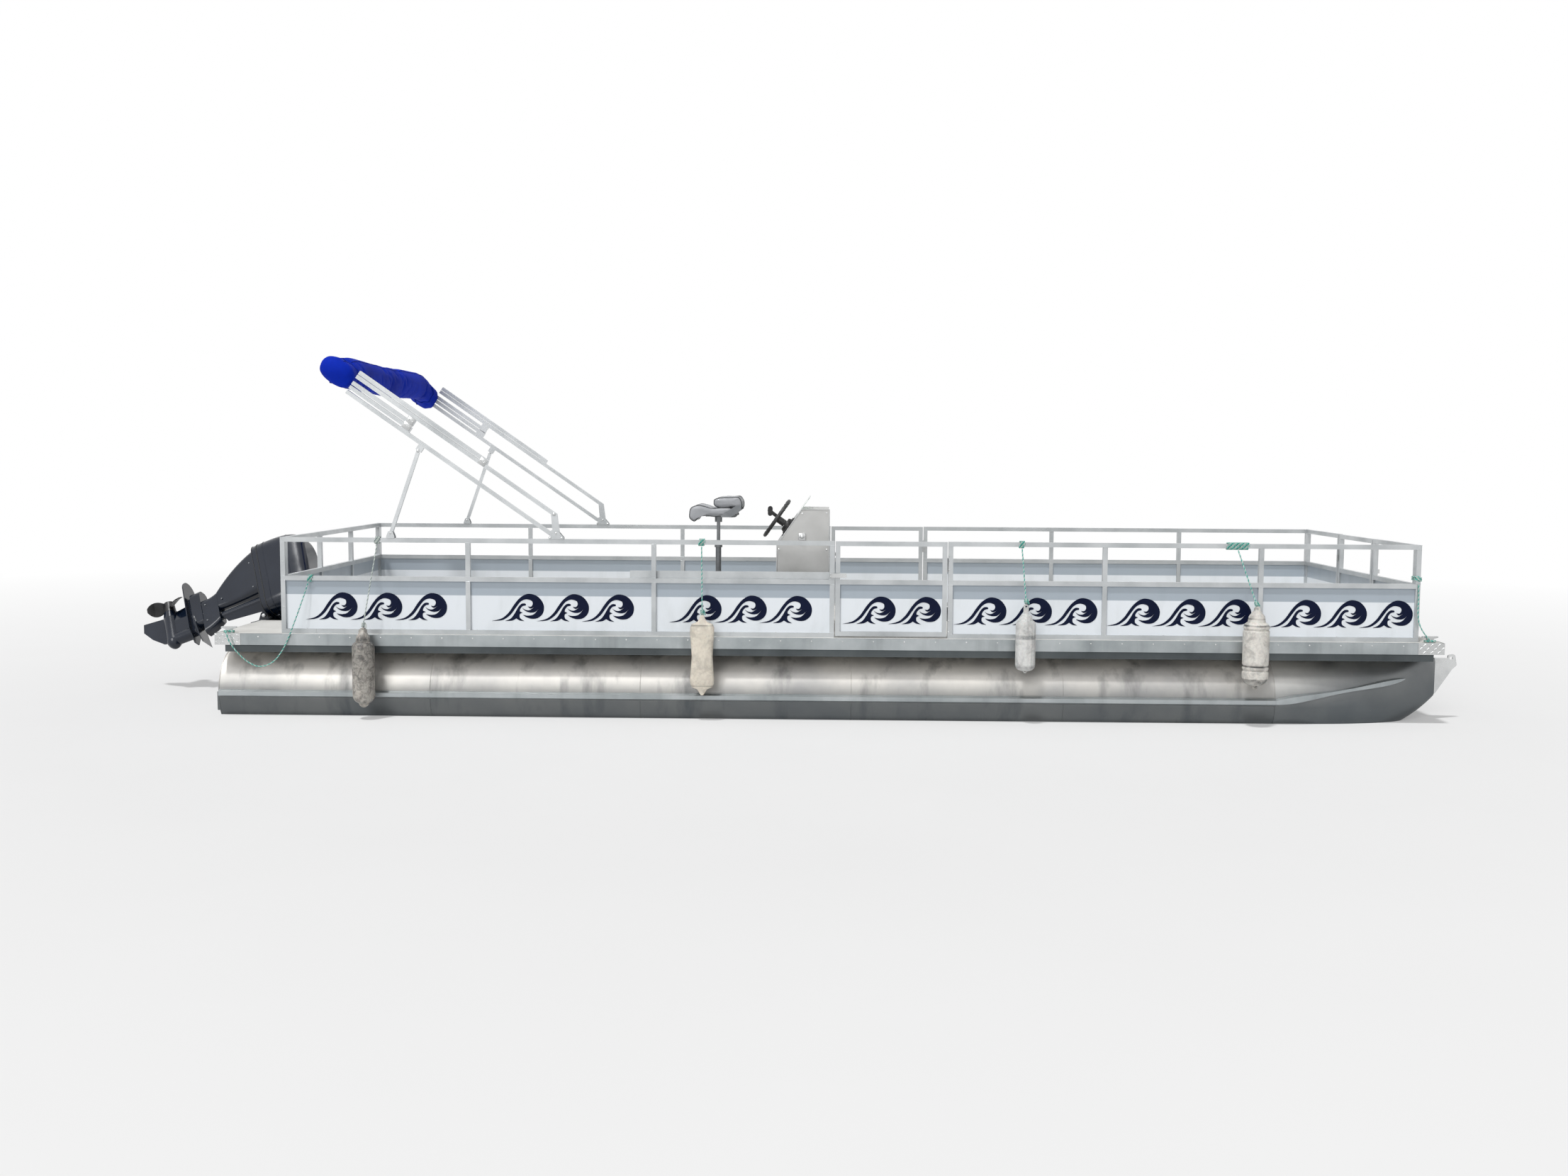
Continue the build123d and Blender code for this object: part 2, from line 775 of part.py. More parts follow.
# Throttle box on the console's port side, with its lever leaning aft
throttle_plane = side_plane(1, console_y + console_width / 2 + seat_gap)
throttle_x = console_x + 118
throttle_z = above(console_height - 176)
with BuildPart() as throttle:
    with BuildSketch(throttle_plane):
        with Locations((throttle_x, throttle_z - 20)):
            RectangleRounded(110, 170, 30)
    extrude(amount=-58)
    with BuildSketch(throttle_plane.offset(-58)):
        with Locations((throttle_x, throttle_z)):
            Circle(34)
    extrude(amount=-12)
    lever = Vector(-190, 145).normalized()
    with BuildSketch(throttle_plane.offset(-64)):
        with Locations(Location((throttle_x + 118 * lever.X, throttle_z + 118 * lever.Y), 143)):
            SlotOverall(270, 26)
    extrude(amount=-14)
    with BuildSketch(throttle_plane.offset(-64)):
        with Locations(Location((throttle_x + 232 * lever.X, throttle_z + 232 * lever.Y), 90)):
            SlotOverall(74, 36)
    extrude(amount=-46)
save(throttle, "throttle")

# Swivel seat, turned to face the stern, with its back folded down on the cushion
post_radius = 21
pole_radius = 13
post_height = 612
with BuildPart() as pedestal:
    with BuildSketch(Plane.XY.offset(above(0))):
        with Locations((along(seat_x), seat_y)):
            Circle(115)
    extrude(amount=8)
    with BuildSketch(Plane.XY.offset(above(0))):
        with Locations((along(seat_x), seat_y)):
            Circle(post_radius)
    extrude(amount=post_height)
    with BuildSketch(Plane.XY.offset(above(post_height - 20))):
        with Locations((along(seat_x), seat_y)):
            Circle(post_radius + 8)
    extrude(amount=32)
    with BuildSketch(Plane.XY.offset(above(post_height))):
        with Locations((along(seat_x), seat_y)):
            Circle(pole_radius)
    extrude(amount=seat_height - 6 - post_height)
save(pedestal, "seat_pedestal")

plate_thickness = 6
with BuildPart() as seat_swivel:
    with BuildSketch(Plane.XY.offset(above(seat_height - plate_thickness - seat_gap))):
        with Locations((along(seat_x), seat_y)):
            RectangleRounded(180, 180, 20)
    extrude(amount=plate_thickness)
    with BuildSketch(Plane.XY.offset(above(seat_height - 48))):
        with Locations((along(seat_x), seat_y)):
            Circle(pole_radius + 14)
    extrude(amount=44)
    with BuildSketch(Plane.XY.offset(above(seat_height - 60))):
        with Locations((along(seat_x), seat_y)):
            Circle(pole_radius + pin_clearance)
    extrude(amount=54.5, mode=Mode.SUBTRACT)
    for cheek in (-1, 1):
        with BuildSketch(side_plane(1, seat_y + cheek * (seat_width / 2 + 4))):
            with BuildLine():
                Polyline(
                    (along(seat_hinge_x) - 130, above(seat_height - plate_thickness - seat_gap)),
                    (along(seat_hinge_x) - 130, above(seat_height + 10)),
                    (along(seat_hinge_x) - 18, above(seat_hinge_height + 16)),
                    (along(seat_hinge_x) + 16, above(seat_hinge_height + 16)),
                    (along(seat_hinge_x) + 16, above(seat_hinge_height - 18)),
                    (along(seat_hinge_x) - 60, above(seat_height - plate_thickness - seat_gap)),
                    close=True,
                )
            make_face()
        extrude(amount=2, both=True)
        with BuildSketch(side_plane(1, seat_y + cheek * (seat_width / 2 + 6))):
            with Locations((along(seat_hinge_x), above(seat_hinge_height))):
                Circle(5)
        extrude(amount=cheek * 36)
    with BuildSketch(Plane.XY.offset(above(seat_height - plate_thickness - seat_gap))):
        with Locations((along(seat_hinge_x) - 95, seat_y)):
            Rectangle(60, seat_width + 12)
    extrude(amount=plate_thickness)
save(seat_swivel, "seat_swivel")

# Cushion in side view, its front roll towards the stern
with BuildPart() as seat_cushion:
    with BuildSketch(side_plane(1, seat_y + seat_width / 2)):
        with BuildLine():
            FilletPolyline(
                (along(3460), above(seat_height)),
                (along(3345), above(seat_height)),
                (along(3318), above(seat_height - 42)),
                (along(3282), above(seat_height - 10)),
                (along(3296), above(seat_height + 72)),
                (along(3390), above(seat_height + 70)),
                (along(3450), above(seat_height + 58)),
                (along(3580), above(seat_height + 58)),
                (along(3622), above(seat_height)),
                radius=(10, 12, 22, 26, 20, 40, 24),
            )
            Line((along(3622), above(seat_height)), (along(3460), above(seat_height)))
        make_face()
    extrude(amount=seat_width)
save(seat_cushion, "seat_cushion")

with BuildPart() as seat_back:
    with BuildSketch(side_plane(1, seat_y + seat_width / 2)):
        with BuildLine():
            FilletPolyline(
                (along(3560), above(seat_height + 64)),
                (along(3460), above(seat_height + 66)),
                (along(3452), above(seat_height + 128)),
                (along(3640), above(seat_height + 140)),
                (along(3660), above(seat_hinge_height + 10)),
                (along(3655), above(seat_hinge_height - 14)),
                (along(3626), above(seat_hinge_height - 14)),
                (along(3612), above(seat_height + 64)),
                radius=(20, 24, 24, 20, 8, 8),
            )
            Line((along(3612), above(seat_height + 64)), (along(3560), above(seat_height + 64)))
        make_face()
    extrude(amount=seat_width)
    with BuildSketch(side_plane(1, seat_y + seat_width / 2 + 1)):
        with Locations((along(seat_hinge_x), above(seat_hinge_height))):
            Circle(5 + pin_clearance)
    extrude(amount=seat_width + 2, mode=Mode.SUBTRACT)
save(seat_back, "seat_back")

# Folded canopy, drawn in a plane whose x runs up along the folded tubes and whose y is across them
canopy_pivot = (along(canopy_x), above(fence_height + canopy_height))


def canopy_plane(sign):
    """Plane of one side's folded tubes: x up and aft along them, y up across them."""
    lean = radians(canopy_angle)
    return Plane(
        origin=(canopy_pivot[0], sign * rail_centre, canopy_pivot[1]),
        x_dir=(-cos(lean), 0, sin(lean)),
        z_dir=(0, 1, 0),
    )


# Columns: distance across the bundle to the tube's centre, where the tube starts along it
canopy_tubes = ((-26, 30), (14, 1270), (48, 1270), (101, 72), (133, 690))
tilt_pin = 6
with BuildPart() as canopy_frame:
    for side, sign in sides:
        with BuildSketch(canopy_plane(sign)):
            for across, start in canopy_tubes:
                with Locations(((start + boot_start - seat_gap) / 2, across)):
                    Rectangle(boot_start - seat_gap - start, bow_tube)
            with Locations((1270, -6)):
                Rectangle(70, 66)
            with Locations((1270, 64)):
                Rectangle(60, 60)
            with Locations((700, 117)):
                Rectangle(60, 56)
            with Locations((jaw_place, (jaw_drop - 26) / 2)):
                Rectangle(44, -jaw_drop - 26)
            with BuildLine():
                Polyline(
                    (-16, -12),
                    (46, -39),
                    (46, -12),
                    (36, 4),
                    (104, 87),
                    (72, 114),
                    (-16, 16),
                    close=True,
                )
            make_face()
            Circle(tilt_pin + pin_clearance, mode=Mode.SUBTRACT)
        extrude(amount=bow_tube / 2, both=True)
save(canopy_frame, "canopy_frame")

with BuildPart() as canopy_boot:
    boot_plane = canopy_plane(1)
    with BuildSketch(Plane(origin=(canopy_pivot[0], rail_centre + 60, canopy_pivot[1]),
                           x_dir=boot_plane.x_dir, z_dir=boot_plane.z_dir)):
        with Locations((boot_start + boot_length / 2, 36)):
            RectangleRounded(boot_length, 192, 88)
    extrude(amount=-2 * (rail_centre + 60))
save(canopy_boot, "canopy_boot")

# Canopy mounts clamp on the top rail; the struts' feet do the same further aft
with BuildPart() as canopy_mounts:
    for side, sign in sides:
        for place, length, height in ((canopy_x, 104, canopy_height), (strut_foot_x, 56, strut_foot_height)):
            for cheek in (-1, 1):
                with BuildSketch(Plane.XZ.offset(-sign * rail_centre - cheek * 20 - 5)):
                    with BuildLine():
                        FilletPolyline(
                            (along(place - length / 2), above(fence_height)),
                            (along(place - length / 2), above(fence_height + 12)),
                            (along(place - 14), above(fence_height + height + 16)),
                            (along(place + 14), above(fence_height + height + 16)),
                            (along(place + length / 2), above(fence_height + 12)),
                            (along(place + length / 2), above(fence_height)),
                            radius=(4, 10, 10, 4),
                        )
                        Line(
                            (along(place + length / 2), above(fence_height)),
                            (along(place - length / 2), above(fence_height)),
                        )
                    make_face()
                extrude(amount=10)
            with BuildSketch(side_plane(sign, rail_centre)):
                with Locations((along(place), above(fence_height + height))):
                    Circle(tilt_pin)
            extrude(amount=20, both=True)
save(canopy_mounts, "canopy_mounts")

strut_pivot_z = above(fence_height + strut_foot_height)
for side, sign in sides:
    lean = radians(strut_angle)
    with BuildPart() as strut:
        with BuildSketch(Plane(origin=(along(strut_foot_x), sign * rail_centre, strut_pivot_z),
                               x_dir=(cos(lean), 0, sin(lean)), z_dir=(0, -1, 0))):
            with Locations((strut_length / 2, 0)):
                Rectangle(strut_length, 24)
            Circle(12)
            Circle(tilt_pin + pin_clearance, mode=Mode.SUBTRACT)
        extrude(amount=11, both=True)
    save(strut, f"{side}_strut")

# Outboard motor, drawn in planes that lean with its tilt and turn with its steering

tilt = radians(tilt_angle)
turn = radians(steer_angle)
tilt_origin = Vector(along(tilt_axis_x), 0, above(tilt_axis_height))
leg_up = Vector(sin(tilt), 0, cos(tilt))
ahead = Vector(cos(tilt), 0, -sin(tilt))
steer_origin = tilt_origin - ahead * steer_setback
steered_ahead = ahead * cos(turn) - Vector(0, 1, 0) * sin(turn)
steered_port = leg_up.cross(steered_ahead)


def bracket_plane():
    """Side view plane of the swivel bracket: x ahead, y up the leg, from the tilt axis."""
    return Plane(origin=tilt_origin, x_dir=ahead, z_dir=(0, -1, 0))


def motor_side_plane():
    """Side view plane of the steered motor: x ahead, y up the leg, from the steering axis."""
    return Plane(origin=steer_origin, x_dir=steered_ahead, z_dir=steered_port * -1)


def motor_level(height):
    """Plane across the leg at this height above the tilt axis: x ahead, y to port."""
    return Plane(origin=steer_origin + leg_up * height, x_dir=steered_ahead, z_dir=leg_up)


transom_aft = along(pod_aft - transom_thickness)
with BuildPart() as motor_clamp:
    for cheek in (-1, 1):
        with BuildSketch(Plane.XZ.offset(-cheek * 80 - 9)):
            with BuildLine():
                FilletPolyline(
                    (transom_aft - 28, above(transom_foot + 10)),
                    (transom_aft - 28, above(-60)),
                    (tilt_origin.X - 23, above(tilt_axis_height + 23)),
                    (tilt_origin.X + 14, above(tilt_axis_height + 23)),
                    (along(pod_aft) + 34, above(-60)),
                    (along(pod_aft) + 34, above(-100)),
                    radius=(30, 14, 14, 10),
                )
                Polyline(
                    (along(pod_aft) + 34, above(-100)),
                    (along(pod_aft) + seat_gap, above(-100)),
                    (along(pod_aft) + seat_gap, above(transom_top) + seat_gap),
                    (transom_aft - seat_gap, above(transom_top) + seat_gap),
                    (transom_aft - seat_gap, above(transom_foot + 10)),
                    (transom_aft - 28, above(transom_foot + 10)),
                )
            make_face()
            with Locations((tilt_origin.X, tilt_origin.Z)):
                Circle(tilt_tube_radius + pin_clearance, mode=Mode.SUBTRACT)
        extrude(amount=18)
save(motor_clamp, "motor_clamp")

swivel_top = 30
swivel_bottom = -330
with BuildPart() as motor_swivel:
    with BuildSketch(bracket_plane()):
        Circle(tilt_tube_radius)
    extrude(amount=100, both=True)
    with BuildSketch(bracket_plane()):
        with BuildLine():
            Polyline(
                (22, 22),
                (22, -22),
                (-34, -30),
                (-62, -300),
                (-steer_setback + 10, -320),
                (-steer_setback + 10, swivel_top),
                (-20, swivel_top),
                close=True,
            )
        make_face()
    extrude(amount=28, both=True)
    with BuildSketch(Plane(origin=steer_origin + leg_up * swivel_top, x_dir=ahead, z_dir=leg_up)):
        Circle(swivel_radius)
    extrude(amount=swivel_bottom - swivel_top)
    with BuildSketch(Plane(origin=steer_origin + leg_up * (swivel_top + 5), x_dir=ahead, z_dir=leg_up)):
        Circle(king_radius + pin_clearance)
    extrude(amount=swivel_bottom - swivel_top - 10, mode=Mode.SUBTRACT)
save(motor_swivel, "motor_swivel")


def rounded_loft(sections):
    """Loft up the leg; sections give height, front, back, width and corner radius."""
    with BuildPart() as body:
        for height, front, back, width, corner in sections:
            with BuildSketch(motor_level(height)):
                with Locations(((front + back) / 2, 0)):
                    RectangleRounded(front - back, width, corner)
        loft()
    return body


# Leg sections from the top down: height, front, back, width, corner radius
leg_sections = ((45, -52, -436, 170, 50), (-110, -50, -384, 116, 40), (-345, -50, -206, 96, 36))
foot_sections = ((swivel_bottom - 8, 58, -208, 98, 36), (-395, 92, -186, 104, 38), (-474, 120, -180, 112, 40))
with BuildPart() as motor_leg:
    add(rounded_loft(((52, 186, -428, 322, 92), (98, 190, -430, 330, 94))).part)
    add(rounded_loft(leg_sections).part)
    add(rounded_loft(foot_sections).part)
    with BuildSketch(motor_level(swivel_top + 6)):
        with Locations((-20, 0)):
            SlotOverall(130, 84)
    extrude(amount=20)
    with BuildSketch(motor_level(swivel_bottom - 20)):
        Circle(king_radius)
    extrude(amount=swivel_top - swivel_bottom + 40)
    with BuildSketch(motor_level(-470)):
        with Locations((-115, 0)):
            RectangleRounded(310, 124, 46)
    extrude(amount=-84)
    with BuildSketch(motor_level(-550)):
        with Locations((-85, 0)):
            RectangleRounded(330, 84, 40)
    extrude(amount=-(plate_drop - 550))
    with BuildSketch(motor_side_plane()):
        with BuildLine():
            Polyline(
                (-60, -540),
                (110, -514),
                (192, -500),
                (110, -524),
                (-60, -554),
                close=True,
            )
        make_face()
    extrude(amount=74, both=True)
    with BuildSketch(motor_level(-plate_drop)):
        with BuildLine():
            Polyline((-330, 88), (40, 88), (150, 30), (150, -30), (40, -88), (-330, -88))
            ThreePointArc((-330, -88), (-402, 0), (-330, 88))
        make_face()
    extrude(amount=-8)
    for height, front, middle, back, half in ((-plate_drop, 96, 10, -205, 38), (-propeller_drop + 20, 92, 10, -185, 38)):
        with BuildSketch(motor_level(height)):
            with BuildLine():
                Polyline((middle, half), (middle - 110, half), (back, 9), (back, -9), (middle - 110, -half), (middle, -half))
                ThreePointArc((middle, -half), (front, 0), (middle, half))
            make_face()
    loft()
    with BuildSketch(motor_side_plane()):
        with BuildLine():
            Polyline(
                (40, -propeller_drop + gearcase_radius),
                (-150, -propeller_drop + gearcase_radius),
                (-203, -propeller_drop + 50),
                (-203, -propeller_drop),
                (122, -propeller_drop),
            )
            ThreePointArc(
                (122, -propeller_drop),
                (98, -propeller_drop + 38),
                (40, -propeller_drop + gearcase_radius),
            )
        make_face()
    revolve(axis=Axis(motor_level(-propeller_drop).origin, steered_ahead))
    with BuildSketch(motor_side_plane()):
        with BuildLine():
            Polyline(
                (60, -propeller_drop - 30),
                (44, -propeller_drop - 88),
                (-32, -propeller_drop - 175),
                (-117, -propeller_drop - 238),
                (-190, -propeller_drop - 230),
                (-168, -propeller_drop - 30),
                close=True,
            )
        make_face()
    extrude(amount=6, both=True)
    with BuildSketch(Plane(motor_level(-propeller_drop).origin - steered_ahead * 203,
                           x_dir=leg_up, z_dir=steered_ahead * -1)):
        Circle(prop_shaft_radius)
    extrude(amount=80)
save(motor_leg, "motor_leg")

# Cowl sections from the seam up: height, front, back, width, corner radius
cowl_sections = (
    (98 + seat_gap, 190, -430, 330, 94),
    (190, 194, -434, 336, 104),
    (340, 180, -424, 322, 104),
    (430, 138, -386, 276, 100),
    (466, 84, -326, 200, 84),
)
save(rounded_loft(cowl_sections), "motor_cowl")

# Propeller: a tapered hub on the shaft and three lofted blades
# Columns: distance from the axis, chord, thickness, angle out of the disc
blade_sections = ((30, 84, 13, 58), (88, 122, 9, 40), (136, 104, 6, 31), (propeller_radius, 34, 3, 26))
hub_start = 207
with BuildPart() as propeller:
    hub_plane = Plane(origin=motor_level(-propeller_drop).origin - steered_ahead * hub_start,
                      x_dir=leg_up, z_dir=steered_ahead * -1)
    with BuildSketch(hub_plane):
        Circle(46)
    extrude(amount=86, taper=5)
    for blade in range(3):
        azimuth = radians(blade_turn + 120 * blade)
        outward = leg_up * -cos(azimuth) - steered_port * sin(azimuth)
        across = steered_ahead.cross(outward)
        for distance, chord, thickness, angle in blade_sections:
            lean_back = radians(angle)
            root = motor_level(-propeller_drop).origin - steered_ahead * (hub_start + 44) + outward * distance
            chord_way = across * cos(lean_back) + steered_ahead * sin(lean_back)
            with BuildSketch(Plane(origin=root, x_dir=chord_way, z_dir=outward)):
                Ellipse(chord / 2, thickness / 2)
        loft()
    with BuildSketch(hub_plane.offset(-1)):
        Circle(prop_shaft_radius + pin_clearance)
    extrude(amount=80, mode=Mode.SUBTRACT)
save(propeller, "propeller")

# Fenders hang against the rub rail; each has a neck at its top that its rope is tied to
rope_radius = 5
fender_standoff = edge_side + 1


def sleeve(plane, width, height, length):
    """Rope wound round a square bar, as one square band with this opening."""
    with BuildPart() as band:
        with BuildSketch(plane):
            Rectangle(width + 4 * rope_radius, height + 4 * rope_radius)
            Rectangle(width, height, mode=Mode.SUBTRACT)
        extrude(amount=length / 2, both=True)
    return band


def straight_rope(start, end):
    """Straight tube of rope between two points."""
    with BuildPart() as tube:
        with BuildSketch(Plane(origin=start, z_dir=end - start)):
            Circle(rope_radius)
        extrude(amount=(end - start).length)
    return tube


# Columns: place of the axis, radius, top, bottom, place of the knot on the top rail, length of the knot
fender_table = (
    (1060, 76, 59, -498, 1130, 44),
    (3412, 96, 162, -397, 3400, 50),
    (5642, 72, 258, -210, 5625, 44),
    (7212, 98, 256, -314, 7115, 160),
)
flat_fender = 1
flat_half = 38
wrap_gap = 2 * seat_gap
for index, (place, radius, top, bottom, knot, knot_length) in enumerate(fender_table):
    depth = flat_half if index == flat_fender else radius
    fender_y = -(fender_standoff + depth)
    with BuildPart() as fender:
        if index == flat_fender:
            with BuildSketch(side_plane(-1, fender_standoff + 2 * flat_half)):
                with Locations((along(place), above((top - 30 + bottom) / 2))):
                    RectangleRounded(2 * radius, top - 30 - bottom, 44)
            extrude(amount=-2 * flat_half)
            with BuildSketch(Plane.XY.offset(above(top - 40))):
                with Locations((along(place), fender_y)):
                    Circle(18)
            extrude(amount=40)
        else:
            with BuildSketch(Plane.XZ.offset(-fender_y)):
                with BuildLine():
                    FilletPolyline(
                        (along(place), above(bottom)),
                        (along(place) + 20, above(bottom)),
                        (along(place) + radius, above(bottom + 0.7 * radius)),
                        (along(place) + radius, above(top - 36 - 0.7 * radius)),
                        (along(place) + 18, above(top - 34)),
                        (along(place) + 18, above(top)),
                        (along(place), above(top)),
                        radius=(10, 0.5 * radius, 0.5 * radius, 6, 5),
                    )
                    Line((along(place), above(top)), (along(place), above(bottom)))
                make_face()
            revolve(axis=Axis((along(place), fender_y, 0), (0, 0, 1)))
    save(fender, f"fender_{index + 1}")
    wrap_low = above(fence_height - rail_size) - wrap_gap / 2 - 2 * rope_radius
    with BuildPart() as fender_rope:
        rope_foot = Vector(along(place), fender_y, above(top) + 2)
        rope_head = Vector(along(knot), -(fence_side + rope_radius + 1.5), wrap_low - 2)
        add(straight_rope(rope_foot, rope_head).part)
        rail_plane = Plane(
            origin=(along(knot), -rail_centre, above(fence_height - rail_size / 2)),
            x_dir=(0, 1, 0),
            z_dir=(1, 0, 0),
        )
        add(sleeve(rail_plane, rail_size + wrap_gap, rail_size + wrap_gap, knot_length).part)
    save(fender_rope, f"fender_rope_{index + 1}")


def slack_rope(route):
    """Tube of rope along straight runs joined by tangent arcs; prints the arcs' radii."""
    points = [Vector(along(x), y, above(z)) for x, y, z in route]
    runs = [(end - start).length for start, end in zip(points, points[1:])]
    turns = [
        radians((middle - start).get_angle(end - middle))
        for start, middle, end in zip(points, points[1:], points[2:])
    ]
    arcs = [0.45 * min(before, after) / tan(turned / 2) for before, after, turned in zip(runs, runs[1:], turns)]
    print("rope arc radii", [round(arc) for arc in arcs])
    with BuildPart() as tube:
        with BuildLine() as path:
            FilletPolyline(*points, radius=arcs)
        with BuildSketch(Plane(origin=points[0], z_dir=points[1] - points[0])):
            Circle(rope_radius)
        sweep(path=path.wires()[0])
    return tube


# Routes in the deck's own measure: distance ahead, port, height above the deck
stern_route = (
    (72, -1210, 13),
    (76, -1262, 30),
    (96, -1288, -14),
    (114, -1272, -72),
    (162, -1264, -138),
    (232, -1264, -202),
    (314, -1264, -235),
    (410, -1264, -199),
    (476, -1264, -114),
    (522, -1258, -14),
    (570, -1236, 126),
    (612, -1214, 256),
    (641, -1192.5, 358.5),
)
bow_route = (
    (8362, -1192.5, 404),
    (8366, -1196, 315),
    (8358, -1205, 190),
    (8382, -1217, 84),
    (8452, -1209.5, 14),
)
cleat_ring = 10
with BuildPart() as stern_rope:
    add(slack_rope(stern_route).part)
    mid_plane = Plane(
        origin=(along(652), -rail_centre, above(mid_rail_top - rail_size / 2)), x_dir=(0, 1, 0), z_dir=(1, 0, 0)
    )
    add(sleeve(mid_plane, rail_size + wrap_gap, rail_size + wrap_gap, 40).part)
    with BuildSketch(side_plane(-1, fence_side - rail_size / 2 + 0.5)):
        with Locations((along(652), above(mid_rail_top - rail_size - 8))):
            Rectangle(60, 24)
    extrude(amount=-(panel_thickness + 1), mode=Mode.SUBTRACT)
    with BuildSketch(Plane.XY.offset(above(4))):
        with Locations((along(cleat_inset), -(edge_side - 62))):
            RectangleRounded(82, 42, 12)
            Rectangle(61, 17, mode=Mode.SUBTRACT)
    extrude(amount=cleat_ring)
save(stern_rope, "stern_rope")

with BuildPart() as bow_rope:
    add(slack_rope(bow_route).part)
    post_plane = Plane.XY.offset(above(442)).move(Location((along(fence_bow) - rail_size / 2, -(fence_side - rail_size), 0)))
    add(sleeve(post_plane, rail_size + wrap_gap, 2 * rail_size + wrap_gap, 50).part)
    with BuildSketch(Plane.XY.offset(above(4))):
        with Locations((along(deck_length - cleat_inset), -(edge_side - 62))):
            RectangleRounded(82, 42, 12)
            Rectangle(61, 17, mode=Mode.SUBTRACT)
    extrude(amount=cleat_ring)
save(bow_rope, "bow_rope")
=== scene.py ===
"""Looks of the pontoon boat: materials, ropes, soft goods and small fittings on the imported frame."""

import json
import math

import bmesh
import bpy
from mathutils import Matrix, Vector


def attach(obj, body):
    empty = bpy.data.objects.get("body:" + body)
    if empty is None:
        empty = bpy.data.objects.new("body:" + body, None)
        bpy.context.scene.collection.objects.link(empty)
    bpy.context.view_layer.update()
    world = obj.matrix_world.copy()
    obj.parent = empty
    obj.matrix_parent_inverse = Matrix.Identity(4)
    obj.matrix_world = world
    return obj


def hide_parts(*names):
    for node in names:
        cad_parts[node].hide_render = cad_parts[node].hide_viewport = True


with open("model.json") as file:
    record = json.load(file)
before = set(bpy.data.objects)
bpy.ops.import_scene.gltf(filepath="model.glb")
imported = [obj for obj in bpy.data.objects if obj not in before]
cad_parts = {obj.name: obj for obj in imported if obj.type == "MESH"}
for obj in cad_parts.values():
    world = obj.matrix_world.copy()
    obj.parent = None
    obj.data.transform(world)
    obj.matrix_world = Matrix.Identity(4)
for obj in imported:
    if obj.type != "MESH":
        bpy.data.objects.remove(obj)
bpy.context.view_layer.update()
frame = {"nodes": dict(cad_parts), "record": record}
scene = bpy.context.scene

DECK_AFT = -3.836
DECK_Z = 0.734
FENCE_Y = 1.186
RAIL_Y = 1.17
RAIL = 0.032
WATER_Z = 0.15
SIDES = (-1, 1)


def at(x, y, z):
    """A place given ahead of the deck's aft edge and above its top, in the row frame."""
    return Vector((DECK_AFT + x, y, DECK_Z + z))


# Camera

camera_data = bpy.data.cameras.new("photo_camera")
camera_data.sensor_width = 36
camera_data.lens = 34.4
camera_data.clip_start = 0.1
camera_data.clip_end = 400
camera = bpy.data.objects.new("photo_camera", camera_data)
scene.collection.objects.link(camera)
right_up_back = Matrix((
    (0.99981011, 0.01849612, 0.00613448), (-0.00769159, 0.08532629, 0.99632337),
    (0.01790468, -0.99618137, 0.08545235),
))
camera.matrix_world = Matrix.Translation((0.3264, -11.5909, 1.9718)) @ right_up_back.transposed().to_4x4()
scene.camera = camera


# Mesh tools


def basis(origin, z, x=None):
    """Matrix of a frame at origin with this z axis and, near enough, this x axis."""
    z = Vector(z).normalized()
    if x is None:
        x = Vector((1, 0, 0)) if abs(z.x) < 0.8 else Vector((0, 1, 0))
    x = Vector(x)
    x = (x - z * x.dot(z)).normalized()
    made = Matrix((x, z.cross(x), z)).transposed().to_4x4()
    made.translation = Vector(origin)
    return made


def circle(count):
    """Cosine and sine at this many even steps round a circle."""
    return [(math.cos(a), math.sin(a)) for a in (2 * math.pi * k / count for k in range(count))]


def arc(radius, start, end, x, y, steps):
    """Points of part of a circle about x and y, between two angles in degrees."""
    angles = [math.radians(start + (end - start) * k / steps) for k in range(steps + 1)]
    return [(x + radius * math.cos(a), y + radius * math.sin(a)) for a in angles]


def line_frames(points, closed=False):
    """Side and up at each point of a line, turned along it without twist."""
    last = len(points) - 1
    tangents = []
    for i in range(last + 1):
        before = points[i - 1] if i or closed else points[0]
        after = points[(i + 1) % (last + 1)] if i < last or closed else points[-1]
        tangents.append((after - before).normalized())
    side = tangents[0].orthogonal().normalized()
    frames = []
    for tangent in tangents:
        side = (side - tangent * side.dot(tangent)).normalized()
        frames.append((side, tangent.cross(side)))
    return frames


